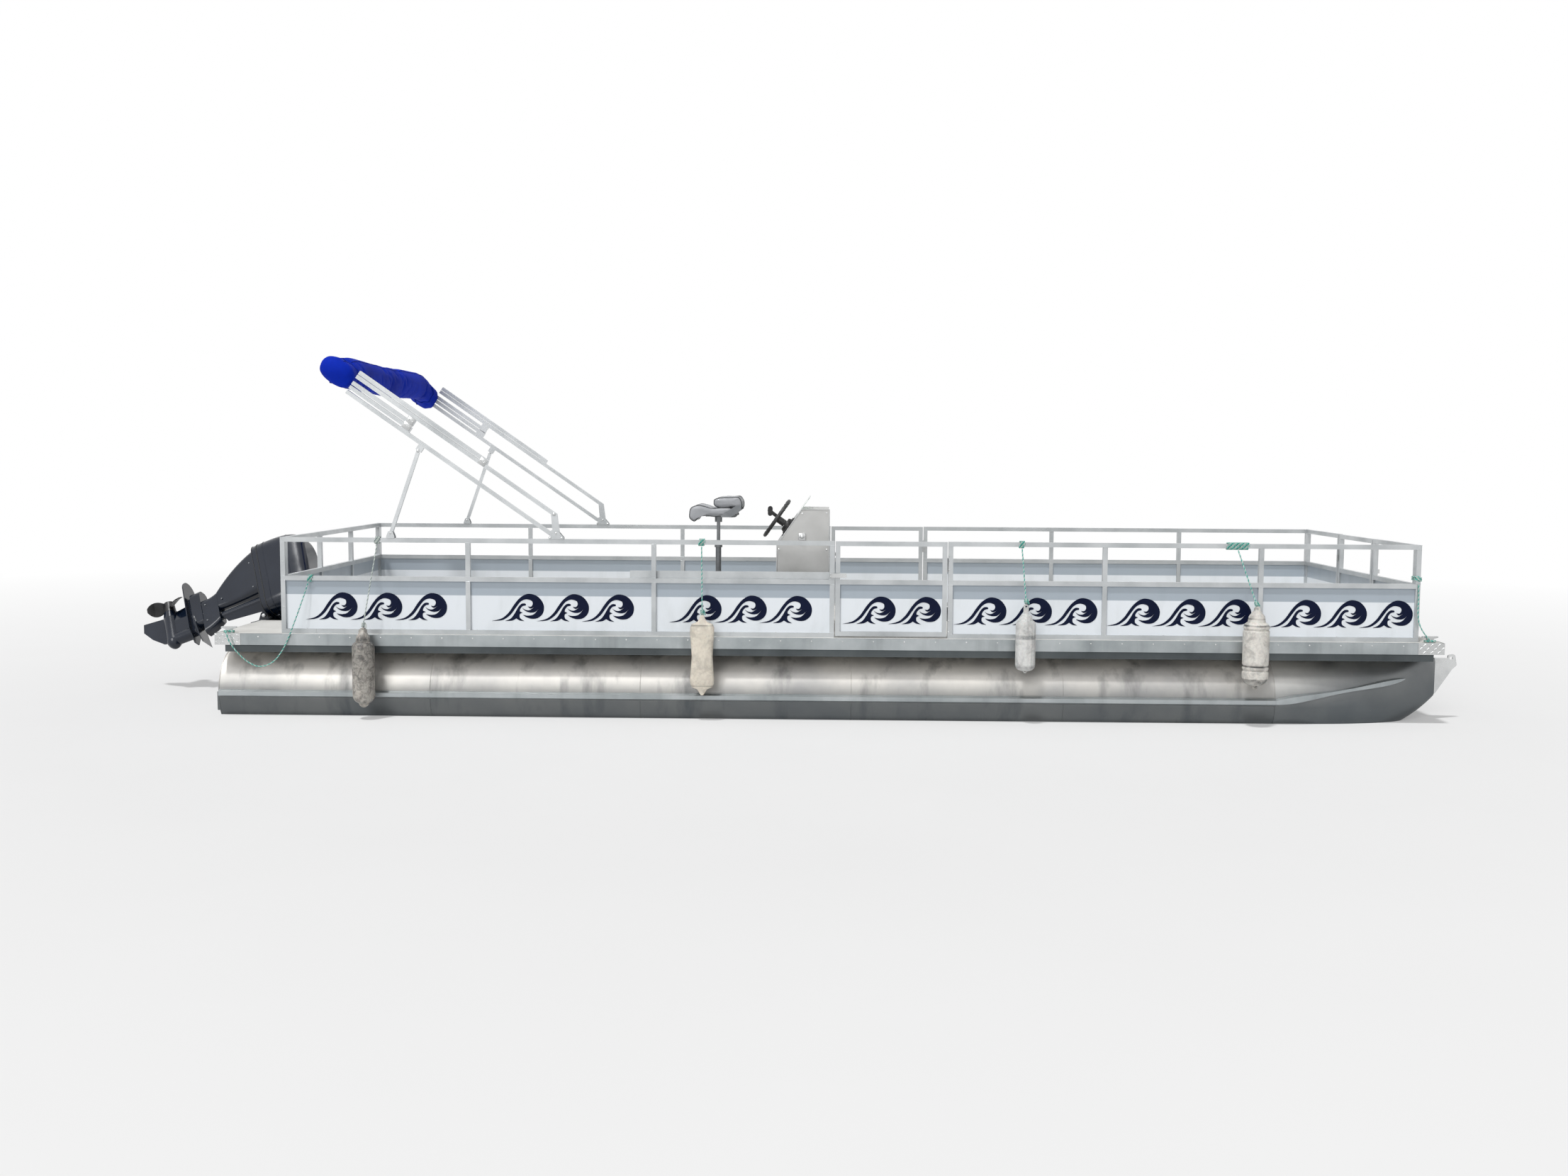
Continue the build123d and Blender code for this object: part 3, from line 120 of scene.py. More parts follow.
class Shape:
    """Gathers boxes, tubes, lathed and drawn forms into one mesh object."""

    def __init__(self):
        self.bm = bmesh.new()

    def face(self, corners, material=0):
        self.bm.faces.new(corners).material_index = material

    def skin(self, rings, material=0, caps=True, closed=False):
        """Skin through rings of equal length, joined back to the first ring if it is closed."""
        made = [[self.bm.verts.new(p) for p in ring] for ring in rings]
        sides = len(made[0])
        for one, two in zip(made, made[1:] + made[:1] if closed else made[1:]):
            for k in range(sides):
                n = (k + 1) % sides
                self.face((one[k], one[n], two[n], two[k]), material)
        if caps and not closed:
            self.face(made[0][::-1], material)
            self.face(made[-1], material)

    def box(self, centre, size, place, bevel=0.0, material=0):
        verts = bmesh.ops.create_cube(self.bm, size=1)["verts"]
        local = Matrix.Translation(Vector(centre)) @ Matrix.Diagonal((*size, 1))
        bmesh.ops.transform(self.bm, matrix=place @ local, verts=verts)
        for face in {f for v in verts for f in v.link_faces}:
            face.material_index = material
        if bevel:
            edges = list(dict.fromkeys(e for v in verts for e in v.link_edges))
            bmesh.ops.bevel(self.bm, geom=edges, offset=bevel, segments=2, profile=0.5, affect="EDGES",
                            material=-1)

    def tube(self, points, radius, sides=12, closed=False, material=0):
        """Round tube along a line; radius is a number or one for each point."""
        points = [Vector(p) for p in points]
        radii = radius if isinstance(radius, list) else [radius] * len(points)
        rings = [[point + (side * c + up * s) * r for c, s in circle(sides)]
                 for point, r, (side, up) in zip(points, radii, line_frames(points, closed))]
        self.skin(rings, material, True, closed)

    def lathe(self, profile, place, sides=32, material=0, wobble=None):
        """Turned form: profile gives (radius, height) pairs from end to end."""
        rings = []
        for radius, height in profile:
            ring = []
            for k, (c, s) in enumerate(circle(sides)):
                r = max(radius, 1e-5) * (wobble(2 * math.pi * k / sides, height) if wobble else 1)
                ring.append(place @ Vector((r * c, r * s, height)))
            rings.append(ring)
        self.skin(rings, material)

    def prism(self, outline, place, depth):
        """Flat outline in place's x and y, made this thick along its z."""
        low, high = ([self.bm.verts.new(place @ Vector((x, y, z))) for x, y in outline] for z in (0, depth))
        self.face(low[::-1])
        self.face(high)
        for k in range(len(outline)):
            n = (k + 1) % len(outline)
            self.face((low[k], low[n], high[n], high[k]))

    def make(self, name, materials, body="hull", smooth_angle=38, ride=True):
        """Ends the form as a mesh object with smooth faces, sharp past this angle, that rides this body."""
        bmesh.ops.recalc_face_normals(self.bm, faces=self.bm.faces)
        mesh = bpy.data.meshes.new(name)
        self.bm.to_mesh(mesh)
        self.bm.free()
        obj = bpy.data.objects.new(name, mesh)
        scene.collection.objects.link(obj)
        for material in materials if isinstance(materials, list) else [materials]:
            mesh.materials.append(material)
        mesh.polygons.foreach_set("use_smooth", [True] * len(mesh.polygons))
        mesh.set_sharp_from_angle(angle=math.radians(smooth_angle))
        if ride:
            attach(obj, body)
        return obj


# Materials: each one is built from noise in the object's own coordinates


class Nodes:
    """Small wrapper that adds nodes to one material."""

    def __init__(self, name):
        self.material = bpy.data.materials.new(name)
        self.material.use_nodes = True
        self.tree = self.material.node_tree
        self.shader = self.tree.nodes["Principled BSDF"]
        self.coords = self.add("TexCoord").outputs["Object"]

    def put(self, value, socket):
        """Links another node's output to this input, or sets a plain value on it."""
        if isinstance(value, bpy.types.NodeSocket):
            self.tree.links.new(value, socket)
        else:
            socket.default_value = value

    def add(self, kind, **inputs):
        """A new node with these inputs, each a plain value or another node's output."""
        node = self.tree.nodes.new("ShaderNode" + kind)
        for key, value in inputs.items():
            self.put(value, node.inputs[key.replace("_", " ")])
        return node

    def settings(self, **values):
        for key, value in values.items():
            self.put(value, self.shader.inputs[key.replace("_", " ")])

    def noise(self, scale, detail=6.0, roughness=0.55, stretch=None, distortion=0.0):
        vector = self.coords
        if stretch:
            vector = self.add("Mapping", Vector=self.coords, Scale=stretch).outputs["Vector"]
        node = self.add("TexNoise", Vector=vector, Scale=scale, Detail=detail, Roughness=roughness,
                        Distortion=distortion)
        return node.outputs["Fac"]

    def wave(self, scale, direction):
        node = self.add("TexWave", Vector=self.coords, Scale=scale, Distortion=1.2)
        node.bands_direction = direction
        return node.outputs["Fac"]

    def ramp(self, source, stops):
        """Grey level that follows source through these pairs of place and level."""
        node = self.add("ValToRGB", Fac=source)
        elements = node.color_ramp.elements
        while len(elements) < len(stops):
            elements.new(0.5)
        for element, (place, level) in zip(elements, stops):
            element.position = place
            element.color = (level, level, level, 1)
        return node.outputs["Color"]

    def fade(self, source, low, high, to_low=0.0, to_high=1.0):
        node = self.add("MapRange", Value=source, From_Min=low, From_Max=high, To_Min=to_low, To_Max=to_high)
        return node.outputs["Result"]

    def mix(self, factor, *colours):
        """Blend of two colours by factor."""
        node = self.add("Mix")
        node.data_type = "RGBA"
        self.put(factor, node.inputs[0])
        for value, place in zip(colours, (6, 7)):
            self.put((*value, 1) if isinstance(value, tuple) else value, node.inputs[place])
        return node.outputs[2]

    def height(self, axis="Z"):
        return self.add("SeparateXYZ", Vector=self.coords).outputs[axis]

    def own_colour_by_height(self, painted_reflection):
        """How much of the metal's own colour shows over the painted dark reflection, from pairs of height and
        share.
        """
        bottom, top = painted_reflection[0][0], painted_reflection[-1][0]
        level = self.fade(self.height(), bottom, top)
        return self.ramp(level, [((z - bottom) / (top - bottom), share) for z, share in painted_reflection])

    def bump(self, source, strength, distance):
        """Adds a bump on top of those the shader has."""
        node = self.add("Bump", Strength=strength, Distance=distance, Height=source)
        normal = self.shader.inputs["Normal"]
        if normal.is_linked:
            self.put(normal.links[0].from_socket, node.inputs["Normal"])
        self.put(node.outputs["Normal"], normal)

    def colour(self, source):
        self.put(source, self.shader.inputs["Base Color"])

    def roughness(self, source, low, high, smoothest, roughest):
        self.put(self.fade(source, low, high, smoothest, roughest), self.shader.inputs["Roughness"])


# Colour of the painted dark reflection of the water on the lower tubes and the noses
WATER_REFLECTION_PAINT = (0.05, 0.065, 0.075)


def metal(name, light, dark, rough, brushed, patch, metallic, stain=0.0, painted_reflection=()):
    """Aluminium with brushed grain and dull patches, perhaps with dark stains that run down.

    Lower down it may get a painted dark reflection of the water, given as heights and the share of the
    metal's own colour there.
    """
    n = Nodes(name)
    n.settings(Metallic=metallic)
    patches = n.noise(patch, detail=8)
    base = n.mix(n.fade(patches, 0.35, 0.7), light, dark)
    if stain:
        runs = n.noise(3.0, detail=5, stretch=(2.2, 2.2, 0.25))
        base = n.mix(n.fade(runs, 0.52, 0.72, 0, stain), base, tuple(c * 0.35 for c in dark))
    # Painted reflection: the colour is darker towards the bottom, by height
    if painted_reflection:
        base = n.mix(n.own_colour_by_height(painted_reflection), WATER_REFLECTION_PAINT, base)
    n.colour(base)
    grain = n.noise(14, detail=8, stretch=brushed)
    n.roughness(n.mix(0.5, patches, grain), 0.3, 0.7, *rough)
    n.bump(grain, 0.12, 0.0004)
    return n.material


def plastic(name, light, dark, rough, scale, grain, bump, coat=0.0, shine=0.5):
    n = Nodes(name)
    n.settings(Coat_Weight=coat, Coat_Roughness=0.08, Specular_IOR_Level=shine)
    patches = n.noise(scale)
    n.colour(n.mix(n.fade(patches, 0.3, 0.7), light, dark))
    n.roughness(patches, 0.3, 0.7, *rough)
    n.bump(n.noise(grain, detail=2), bump, 0.0003)
    return n.material


def cloth(name, light, dark, scale, sheen, fold_scale=5, rough=0.85):
    n = Nodes(name)
    n.settings(Sheen_Weight=sheen, Sheen_Roughness=0.4, Roughness=rough, Specular_IOR_Level=0.12)
    folds = n.noise(fold_scale, detail=7)
    warp, weft, up = (n.wave(scale, direction) for direction in "XYZ")
    threads = n.mix(0.5, n.mix(0.5, warp, weft), up)
    base = n.mix(n.fade(folds, 0.3, 0.75), light, dark)
    n.colour(n.mix(n.fade(threads, 0.2, 0.8, 0.0, 0.25), base, dark))
    n.bump(threads, 0.35, 0.0004)
    n.bump(folds, 0.25, 0.004)
    return n.material


def nose_metal(name):
    """Pressed nose: the tube's painted dark reflection of the water fades into the nose's own darker one,
    with scratches over both.
    """
    n = Nodes(name)
    n.settings(Metallic=0.6)
    patches = n.noise(2.0, detail=8)
    base = n.mix(n.fade(patches, 0.35, 0.7), (0.74, 0.73, 0.7), (0.44, 0.44, 0.44))
    ahead = n.fade(n.height("X"), DECK_AFT + 7.4, DECK_AFT + 8.1)
    # Painted dark reflection of the water, darker on the nose than on the tube
    own_colour_share = n.mix(ahead, n.own_colour_by_height(TUBE_PAINTED_REFLECTION), n.own_colour_by_height(NOSE_PAINTED_REFLECTION))
    scratches = n.noise(30, detail=9, roughness=0.7, stretch=(0.5, 1, 1.6), distortion=1.2)
    with_painted_reflection = n.mix(own_colour_share, WATER_REFLECTION_PAINT, base)
    n.colour(n.mix(n.fade(scratches, 0.66, 0.74, 0, 0.5), with_painted_reflection, (0.5, 0.5, 0.5)))
    n.roughness(patches, 0.3, 0.7, 0.36, 0.5)
    n.bump(scratches, 0.1, 0.0006)
    return n.material


def sheet_paint(name):
    """Fence sheet: rain dirt, slight waves, and a painted shadow band under the rail above."""
    n = Nodes(name)
    n.settings(Coat_Weight=0.25, Coat_Roughness=0.2)
    dirt = n.noise(5, detail=8, stretch=(1.2, 1.2, 0.35))
    base = n.mix(n.fade(dirt, 0.5, 0.8, 0, 0.5), (0.8, 0.84, 0.88), (0.56, 0.59, 0.6))
    # Painted shadow of the mid rail: the sheet's top band is darkened
    painted_rail_shadow = n.fade(n.height(), DECK_Z + 0.272, DECK_Z + 0.277, 0, 0.75)
    n.colour(n.mix(painted_rail_shadow, base, (0.25, 0.31, 0.37)))
    n.roughness(dirt, 0.3, 0.8, 0.28, 0.5)
    n.bump(n.noise(2.4, detail=2), 0.12, 0.004)
    return n.material


def clear_glass(name):
    n = Nodes(name)
    n.settings(Transmission_Weight=0.94, IOR=1.45, Base_Color=(0.86, 0.95, 0.9, 1))
    n.roughness(n.noise(30, detail=4), 0.3, 0.8, 0.03, 0.12)
    return n.material


def fender_vinyl(name, light, dark, grime, amount, scale, bands, bottom, top):
    """Sun-worn vinyl with grime in patches and in bands: shares of its length with how dirty they are."""
    n = Nodes(name)
    n.settings(Subsurface_Weight=0.05)
    patches = n.noise(scale, detail=9, roughness=0.65, distortion=0.6)
    fine = n.noise(60, detail=5)
    base = n.mix(n.fade(fine, 0.3, 0.7), light, dark)
    spotted = n.mix(n.fade(patches, 0.46, 0.64, 0, amount), base, grime)
    dirty = n.mix(n.fade(patches, 0.38, 0.56, 0.45, 1), base, grime)
    along = n.fade(n.height(), DECK_Z + bottom, DECK_Z + top)
    n.colour(n.mix(n.ramp(along, bands), spotted, dirty))
    n.roughness(patches, 0.3, 0.7, 0.38, 0.6)
    n.bump(fine, 0.15, 0.0006)
    n.bump(patches, 0.2, 0.003)
    return n.material


# Heights and the share of the metal's own colour there; the rest is a painted dark reflection of the water
TUBE_PAINTED_REFLECTION = ((0.0, 0.1), (0.27, 0.16), (0.31, 0.3), (0.36, 0.5), (0.44, 0.8), (0.5, 1.0))
NOSE_PAINTED_REFLECTION = ((0.0, 0.06), (0.28, 0.12), (0.42, 0.2), (0.62, 0.3))

# Columns: kind, name, light and dark colour, and that kind's own measures
look_rows = (
    (metal, "tube_metal", (0.78, 0.75, 0.7), (0.5, 0.49, 0.48), (0.42, 0.56), (0.6, 30, 30), 2.2, 0.6, 0.75,
     TUBE_PAINTED_REFLECTION),
    # Very dark frame aluminium: painted shade of the frame parts under the deck
    (metal, "frame_metal", (0.16, 0.17, 0.18), (0.1, 0.11, 0.12), (0.45, 0.6), (3, 3, 30), 3, 0.6),
    (metal, "rail_metal", (0.57, 0.59, 0.6), (0.4, 0.42, 0.43), (0.32, 0.48), (8, 8, 8), 3.5, 0.7),
    (metal, "trim_metal", (0.46, 0.49, 0.5), (0.28, 0.31, 0.32), (0.32, 0.48), (0.5, 30, 40), 2.6, 0.75, 0.3),
    # Very dark channel aluminium: painted shade under the rub rail
    (metal, "channel_metal", (0.1, 0.115, 0.12), (0.055, 0.065, 0.07), (0.4, 0.55), (0.5, 30, 40), 2.6, 0.5),
    (metal, "bright_metal", (0.66, 0.67, 0.67), (0.46, 0.47, 0.47), (0.22, 0.4), (9, 9, 9), 5, 0.9),
    (metal, "console_metal", (0.56, 0.56, 0.55), (0.44, 0.44, 0.43), (0.4, 0.52), (30, 4, 1), 4, 0.6),
    (metal, "pole_metal", (0.27, 0.28, 0.29), (0.17, 0.18, 0.19), (0.3, 0.45), (8, 8, 30), 4, 0.85),
    (metal, "canopy_metal", (0.66, 0.68, 0.69), (0.46, 0.48, 0.49), (0.26, 0.4), (6, 6, 6), 4, 0.8),
    (nose_metal, "nose_skin"),
    (sheet_paint, "panel_paint"),
    (clear_glass, "clear_screen"),
    (plastic, "deck_covering", (0.74, 0.73, 0.7), (0.6, 0.59, 0.56), (0.6, 0.75), 4, 300, 0.4),
    (plastic, "wave_paint", (0.001, 0.004, 0.022), (0.003, 0.007, 0.03), (0.34, 0.46), 12, 500, 0.04, 0,
     0.12),
    (plastic, "black_plastic", (0.012, 0.012, 0.013), (0.035, 0.035, 0.036), (0.35, 0.5), 14, 1200, 0.25),
    (plastic, "motor_paint", (0.002, 0.006, 0.016), (0.005, 0.01, 0.022), (0.14, 0.26), 5, 60, 0.03, 0.15),
    (plastic, "prop_paint", (0.006, 0.006, 0.007), (0.03, 0.03, 0.032), (0.3, 0.5), 16, 300, 0.1),
    (plastic, "rubber", (0.014, 0.014, 0.014), (0.03, 0.03, 0.03), (0.6, 0.75), 20, 800, 0.2),
    (plastic, "seat_vinyl", (0.4, 0.41, 0.43), (0.3, 0.31, 0.33), (0.42, 0.55), 8, 420, 0.5, 0.1),
    (plastic, "seat_piping", (0.05, 0.055, 0.06), (0.08, 0.085, 0.09), (0.4, 0.5), 14, 500, 0.3),
    (plastic, "dial_face", (0.7, 0.71, 0.7), (0.6, 0.61, 0.6), (0.3, 0.4), 20, 400, 0.05),
    (plastic, "needle_paint", (0.55, 0.05, 0.03), (0.4, 0.03, 0.02), (0.3, 0.4), 20, 400, 0.05),
    (cloth, "boot_cloth", (0.001, 0.03, 0.56), (0.0, 0.012, 0.27), 520, 0.0, 3, 0.75),
    (cloth, "boot_seam", (0.004, 0.026, 0.34), (0.002, 0.014, 0.2), 900, 0.04),
    (cloth, "rope_white", (0.72, 0.76, 0.72), (0.44, 0.5, 0.47), 1600, 0.05, 30),
    (cloth, "rope_teal", (0.06, 0.42, 0.35), (0.035, 0.28, 0.23), 1600, 0.05, 30),
    (cloth, "rope_pale", (0.3, 0.64, 0.56), (0.17, 0.44, 0.38), 1600, 0.05, 30),
    (cloth, "rope_grey", (0.3, 0.36, 0.36), (0.18, 0.23, 0.23), 1600, 0.05, 30),
)
looks = {name: kind(name, *measures) for kind, name, *measures in look_rows}
ROPE_TEAL = [looks["rope_white"], looks["rope_teal"], looks["rope_pale"]]
ROPE_WHITE = [looks["rope_white"], looks["rope_white"], looks["rope_grey"]]

# Finishes that go by a piece's slot or by its own node instead of by the slot's name
slot_finish = {
    "deck_wood": "deck_covering",
    "cowl_plastic": "motor_paint",
}
node_finish = {
    "cross_members": "frame_metal",
    "risers": "frame_metal",
    "motor_pod": "frame_metal",
    "side_channels": "channel_metal",
    "propeller": "prop_paint",
    # The strakes take the darker trim finish: painted shade on the strake's face
    "strakes": "trim_metal",
    "nosecones": "nose_skin",
}
for part in frame["record"]["subparts"]:
    slot = part["material_slot"]
    finish = node_finish.get(part["node"], slot_finish.get(slot, slot))
    # The fenders and ropes get theirs with their own forms
    if finish in looks:
        materials = frame["nodes"][part["node"]].data.materials
        materials.clear()
        materials.append(looks[finish])


# Ropes: three laid strands that follow each route's own smooth line

ROPE_RADIUS = 0.005
LAY = 0.03


def route_line(route, resolution):
    """Points of the smooth NURBS line that has these control points."""
    data = bpy.data.curves.new("route", "CURVE")
    data.dimensions = "3D"
    spline = data.splines.new("NURBS")
    spline.points.add(len(route) - 1)
    for point, place in zip(spline.points, route):
        point.co = (*place, 1)
    spline.order_u = min(3, len(route))
    spline.use_endpoint_u = True
    spline.resolution_u = resolution
    carrier = bpy.data.objects.new("route", data)
    scene.collection.objects.link(carrier)
    bpy.context.view_layer.update()
    mesh = bpy.data.meshes.new_from_object(carrier.evaluated_get(bpy.context.evaluated_depsgraph_get()))
    line = [v.co.copy() for v in mesh.vertices]
    bpy.data.objects.remove(carrier)
    bpy.data.curves.remove(data)
    bpy.data.meshes.remove(mesh)
    return line


def laid_rope(name, line, finishes, radius=ROPE_RADIUS):
    """Three twisted strands along a line, each with its own material."""
    shape = Shape()
    travelled = [0.0]
    for a, b in zip(line, line[1:]):
        travelled.append(travelled[-1] + (b - a).length)
    frames = line_frames(line)
    for strand in range(3):
        points = []
        for point, (side, up), run in zip(line, frames, travelled):
            angle = 2 * math.pi * (run / LAY + strand / 3)
            points.append(point + (side * math.cos(angle) + up * math.sin(angle)) * radius * 0.46)
        shape.tube(points, radius * 0.54, 7, material=strand)
    return shape.make(name, finishes, smooth_angle=80)


def winding(name, centre, axis, across, half_sizes, length, turns, finishes):
    """Rope wound round a square bar; centre is the middle of the band, across the way to its first side."""
    place = basis(centre, axis, across)
    steps = int(turns * 40)
    points = []
    for i in range(steps + 1):
        a = 2 * math.pi * turns * i / steps
        c, s = math.cos(a), math.sin(a)
        scale = (abs(c) ** 7 + abs(s) ** 7) ** (-1 / 7)
        drift = (i / steps - 0.5) * length
        points.append(place @ Vector((half_sizes[0] * c * scale, half_sizes[1] * s * scale, drift)))
    return laid_rope(name, points, finishes, ROPE_RADIUS * 0.97)


def hitch(name, place, finishes):
    """Knot of three turns round a rope's standing part, with a short tail; place's z runs along the rope."""
    points = [(0.0095 * math.cos(a), 0.0095 * math.sin(a), 0.0095 * a / math.pi / 2)
              for a in (math.pi * k / 8 for k in range(49))]
    points += [(0.016, 0.004, 0.02), (0.02, 0.006, -0.006)]
    return laid_rope(name, [place @ Vector(p) for p in points], finishes, ROPE_RADIUS * 0.95)


def lug(shape, place, width, height, thickness, hole):
    """Flat rounded tab with a hole; place is the middle of its foot, z up and y through its thickness."""
    middle = height - width / 2
    outer = [(-width / 2, 0)] + arc(width / 2, 180, 0, 0, middle, 12) + [(width / 2, 0)]
    inner = arc(hole, 225, -45, 0, middle, len(outer) - 1)
    half = thickness / 2
    rings = []
    for (ox, oz), (ix, iz) in zip(outer, inner):
        corners = ((ox, -half, oz), (ix, -half, iz), (ix, half, iz), (ox, half, oz))
        rings.append([place @ Vector(c) for c in corners])
    shape.skin(rings, closed=True)


def round_fender(shape, place, radius, length, neck, round_low, grooves, wobble):
    """Round fender with a rounded foot, a shoulder and a tapered neck; grooves are heights above its foot."""
    low = arc(radius * round_low, -90, 0, radius * (1 - round_low), radius * round_low, 10)
    side = []
    span = length - neck - radius * 0.8
    for k in range(1, 40):
        z = radius * round_low + (span - radius * round_low) * k / 40
        dip = max((math.exp(-(((z - g) / 0.006) ** 2)) for g in grooves), default=0)
        side.append((radius * (1 - 0.09 * dip), z))
    high = arc(radius * 0.5, 0, 70, radius * 0.5, span, 8)
    cone = [(radius * wide, length - neck * down) for wide, down in ((0.6, 0.8), (0.42, 0.45), (0.24, 0.1))]
    shape.lathe([(0.01, 0.0)] + low + side + high + cone + [(0.012, length)], place, 48, 0, wobble)


def flutes(angle, height):
    return 1 - 0.07 * abs(math.cos(7 * angle)) ** 4 * min(1, height / 0.05)


def flat_fender(shape, place, half_width, half_depth, length):
    """Flat cushion fender: wide shoulders, a waist between them and a tapered tab at each end."""
    # Columns: height as a share of the length, half width and half depth as shares of the full ones
    table = (
        (0.00, 0.12, 0.3), (0.03, 0.24, 0.34), (0.07, 0.42, 0.36), (0.1, 0.86, 0.62), (0.14, 0.99, 0.9),
        (0.22, 1.00, 1.00), (0.34, 0.93, 1.00), (0.48, 0.87, 1.00), (0.62, 0.92, 1.00), (0.76, 1.00, 1.00),
        (0.84, 1.00, 0.92), (0.885, 0.88, 0.66), (0.915, 0.4, 0.38), (0.95, 0.26, 0.34), (1.00, 0.13, 0.3),
    )
    rings = []
    for share, wide, deep in table:
        ring = []
        for c, s in circle(56):
            reach = (abs(c) ** 3.2 + abs(s) ** 3.2) ** (-1 / 3.2)
            x = half_width * wide * c * reach
            y = half_depth * deep * s * reach
            ring.append(place @ Vector((x, y, length * share)))
        rings.append(ring)
    shape.skin(rings)


# Fenders: columns are axis, radius, top, bottom, knot on the rail, knot's length and rope
fender_rows = (
    (1.06, 0.076, 0.059, -0.498, 1.13, 0.044, ROPE_WHITE),
    (3.412, 0.096, 0.162, -0.397, 3.4, 0.05, ROPE_TEAL),
    (5.642, 0.072, 0.258, -0.21, 5.625, 0.044, ROPE_TEAL),
    (7.212, 0.098, 0.256, -0.314, 7.115, 0.16, ROPE_TEAL),
)
# The flat fender's number and half its depth, and how far out the fenders' backs lie
FLAT = 2
FLAT_HALF = 0.038
FENDER_STANDOFF = 1.2483
# Round fenders: height of the foot, share of the radius, cut from the length, neck, rounding of the foot;
# then the lower and the upper lug, each with how deep it starts, width, height, thickness and hole
round_forms = {
    1: (0.026, 1, 0.04, 0.06, 0.8, (0.046, 0.07, 0.046, 0.02, 0.01), (0.046, 0.056, 0.046, 0.018, 0.009)),
    3: (0.008, 0.96, 0.072, 0.024, 0.6, (0.02, 0.03, 0.029, 0.014, 0.006), (0.07, 0.034, 0.07, 0.016, 0.007)),
    4: (0.028, 0.9, 0.046, 0.06, 0.7, (0.03, 0.04, 0.03, 0.014, 0.007), (0.03, 0.04, 0.03, 0.016, 0.008)),
}
# Finishes: name, light, dark, grime, how much of it, its scale, and bands as share of the length and dirt
fender_looks = (
    ("fender_grey_vinyl", (0.54, 0.51, 0.46), (0.36, 0.34, 0.31), (0.022, 0.022, 0.024), 0.55, 26,
     ((0, 0.05), (0.25, 0.08), (0.42, 0.35), (0.55, 0.6), (0.74, 0.45), (0.79, 0.85), (0.86, 0.85),
      (0.9, 0.2), (1, 0.1))),
    ("fender_cream_vinyl", (0.82, 0.76, 0.65), (0.7, 0.64, 0.54), (0.16, 0.15, 0.13), 0.3, 11,
     ((0, 0), (0.105, 0.05), (0.115, 0.8), (0.125, 0.1), (0.85, 0.1), (0.875, 0.8), (0.885, 0.05), (1, 0))),
    ("fender_white_vinyl", (0.76, 0.76, 0.74), (0.62, 0.62, 0.61), (0.09, 0.1, 0.105), 0.35, 14,
     ((0, 0.3), (0.08, 0.5), (0.12, 0.05), (0.48, 0.1), (0.5, 0.6), (0.54, 0.6), (0.56, 0.1), (1, 0.1))),
    ("fender_ringed_vinyl", (0.78, 0.75, 0.69), (0.62, 0.6, 0.56), (0.04, 0.043, 0.045), 0.4, 12,
     ((0, 0.45), (0.128, 0.8), (0.14, 0.05), (0.27, 0.05), (0.278, 0.9), (0.292, 0.9), (0.3, 0.03),
      (0.76, 0.03), (0.768, 0.9), (0.782, 0.9), (0.79, 0.05), (0.84, 0.08), (0.855, 0.8), (0.87, 0.1),
      (1, 0.1))),
)
upside_down = Matrix.Rotation(math.pi, 4, "X")
for number, (x, radius, top, bottom, knot, knot_length, rope_look) in enumerate(fender_rows, 1):
    name = f"fender_{number}"
    y = -(FENDER_STANDOFF + (FLAT_HALF if number == FLAT else radius))
    length = top - bottom
    shape = Shape()
    if number == FLAT:
        flat_fender(shape, Matrix.Translation(at(x, y, bottom)), 0.87 * radius, FLAT_HALF, length)
    else:
        foot, share, cut, neck, round_low, low_lug, high_lug = round_forms[number]
        grooves = (0.105, 0.135, length - 0.185, length - 0.155) if number == 4 else ()
        round_fender(shape, Matrix.Translation(at(x, y, bottom + foot)), share * radius, length - cut, neck,
                     round_low, grooves, flutes if number == 3 else None)
        lug(shape, Matrix.Translation(at(x, y, bottom + low_lug[0])) @ upside_down, *low_lug[1:])
        lug(shape, Matrix.Translation(at(x, y, top - high_lug[0])), *high_lug[1:])
    vinyl = fender_vinyl(*fender_looks[number - 1], bottom, top)
    fender = shape.make(f"{name}_body", vinyl, smooth_angle=55)
    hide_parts(name)

    head = at(knot, -1.1925, 0.6307)
    foot_point = at(x, y, top + 0.002)
    line = route_line([head, foot_point], 60)
    rope = laid_rope(f"{name}_rope", line, rope_look)
    band = winding(f"{name}_winding", at(knot, -RAIL_Y, 0.659), (1, 0, 0), (0, -1, 0), (0.0215, 0.0215),
                   knot_length - 0.01, max(3, round(knot_length / 0.0112)), rope_look)
    away = (head - foot_point).normalized()
    tie = hitch(f"{name}_hitch", basis(foot_point + away * 0.004, away), rope_look)
    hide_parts(f"fender_rope_{number}")

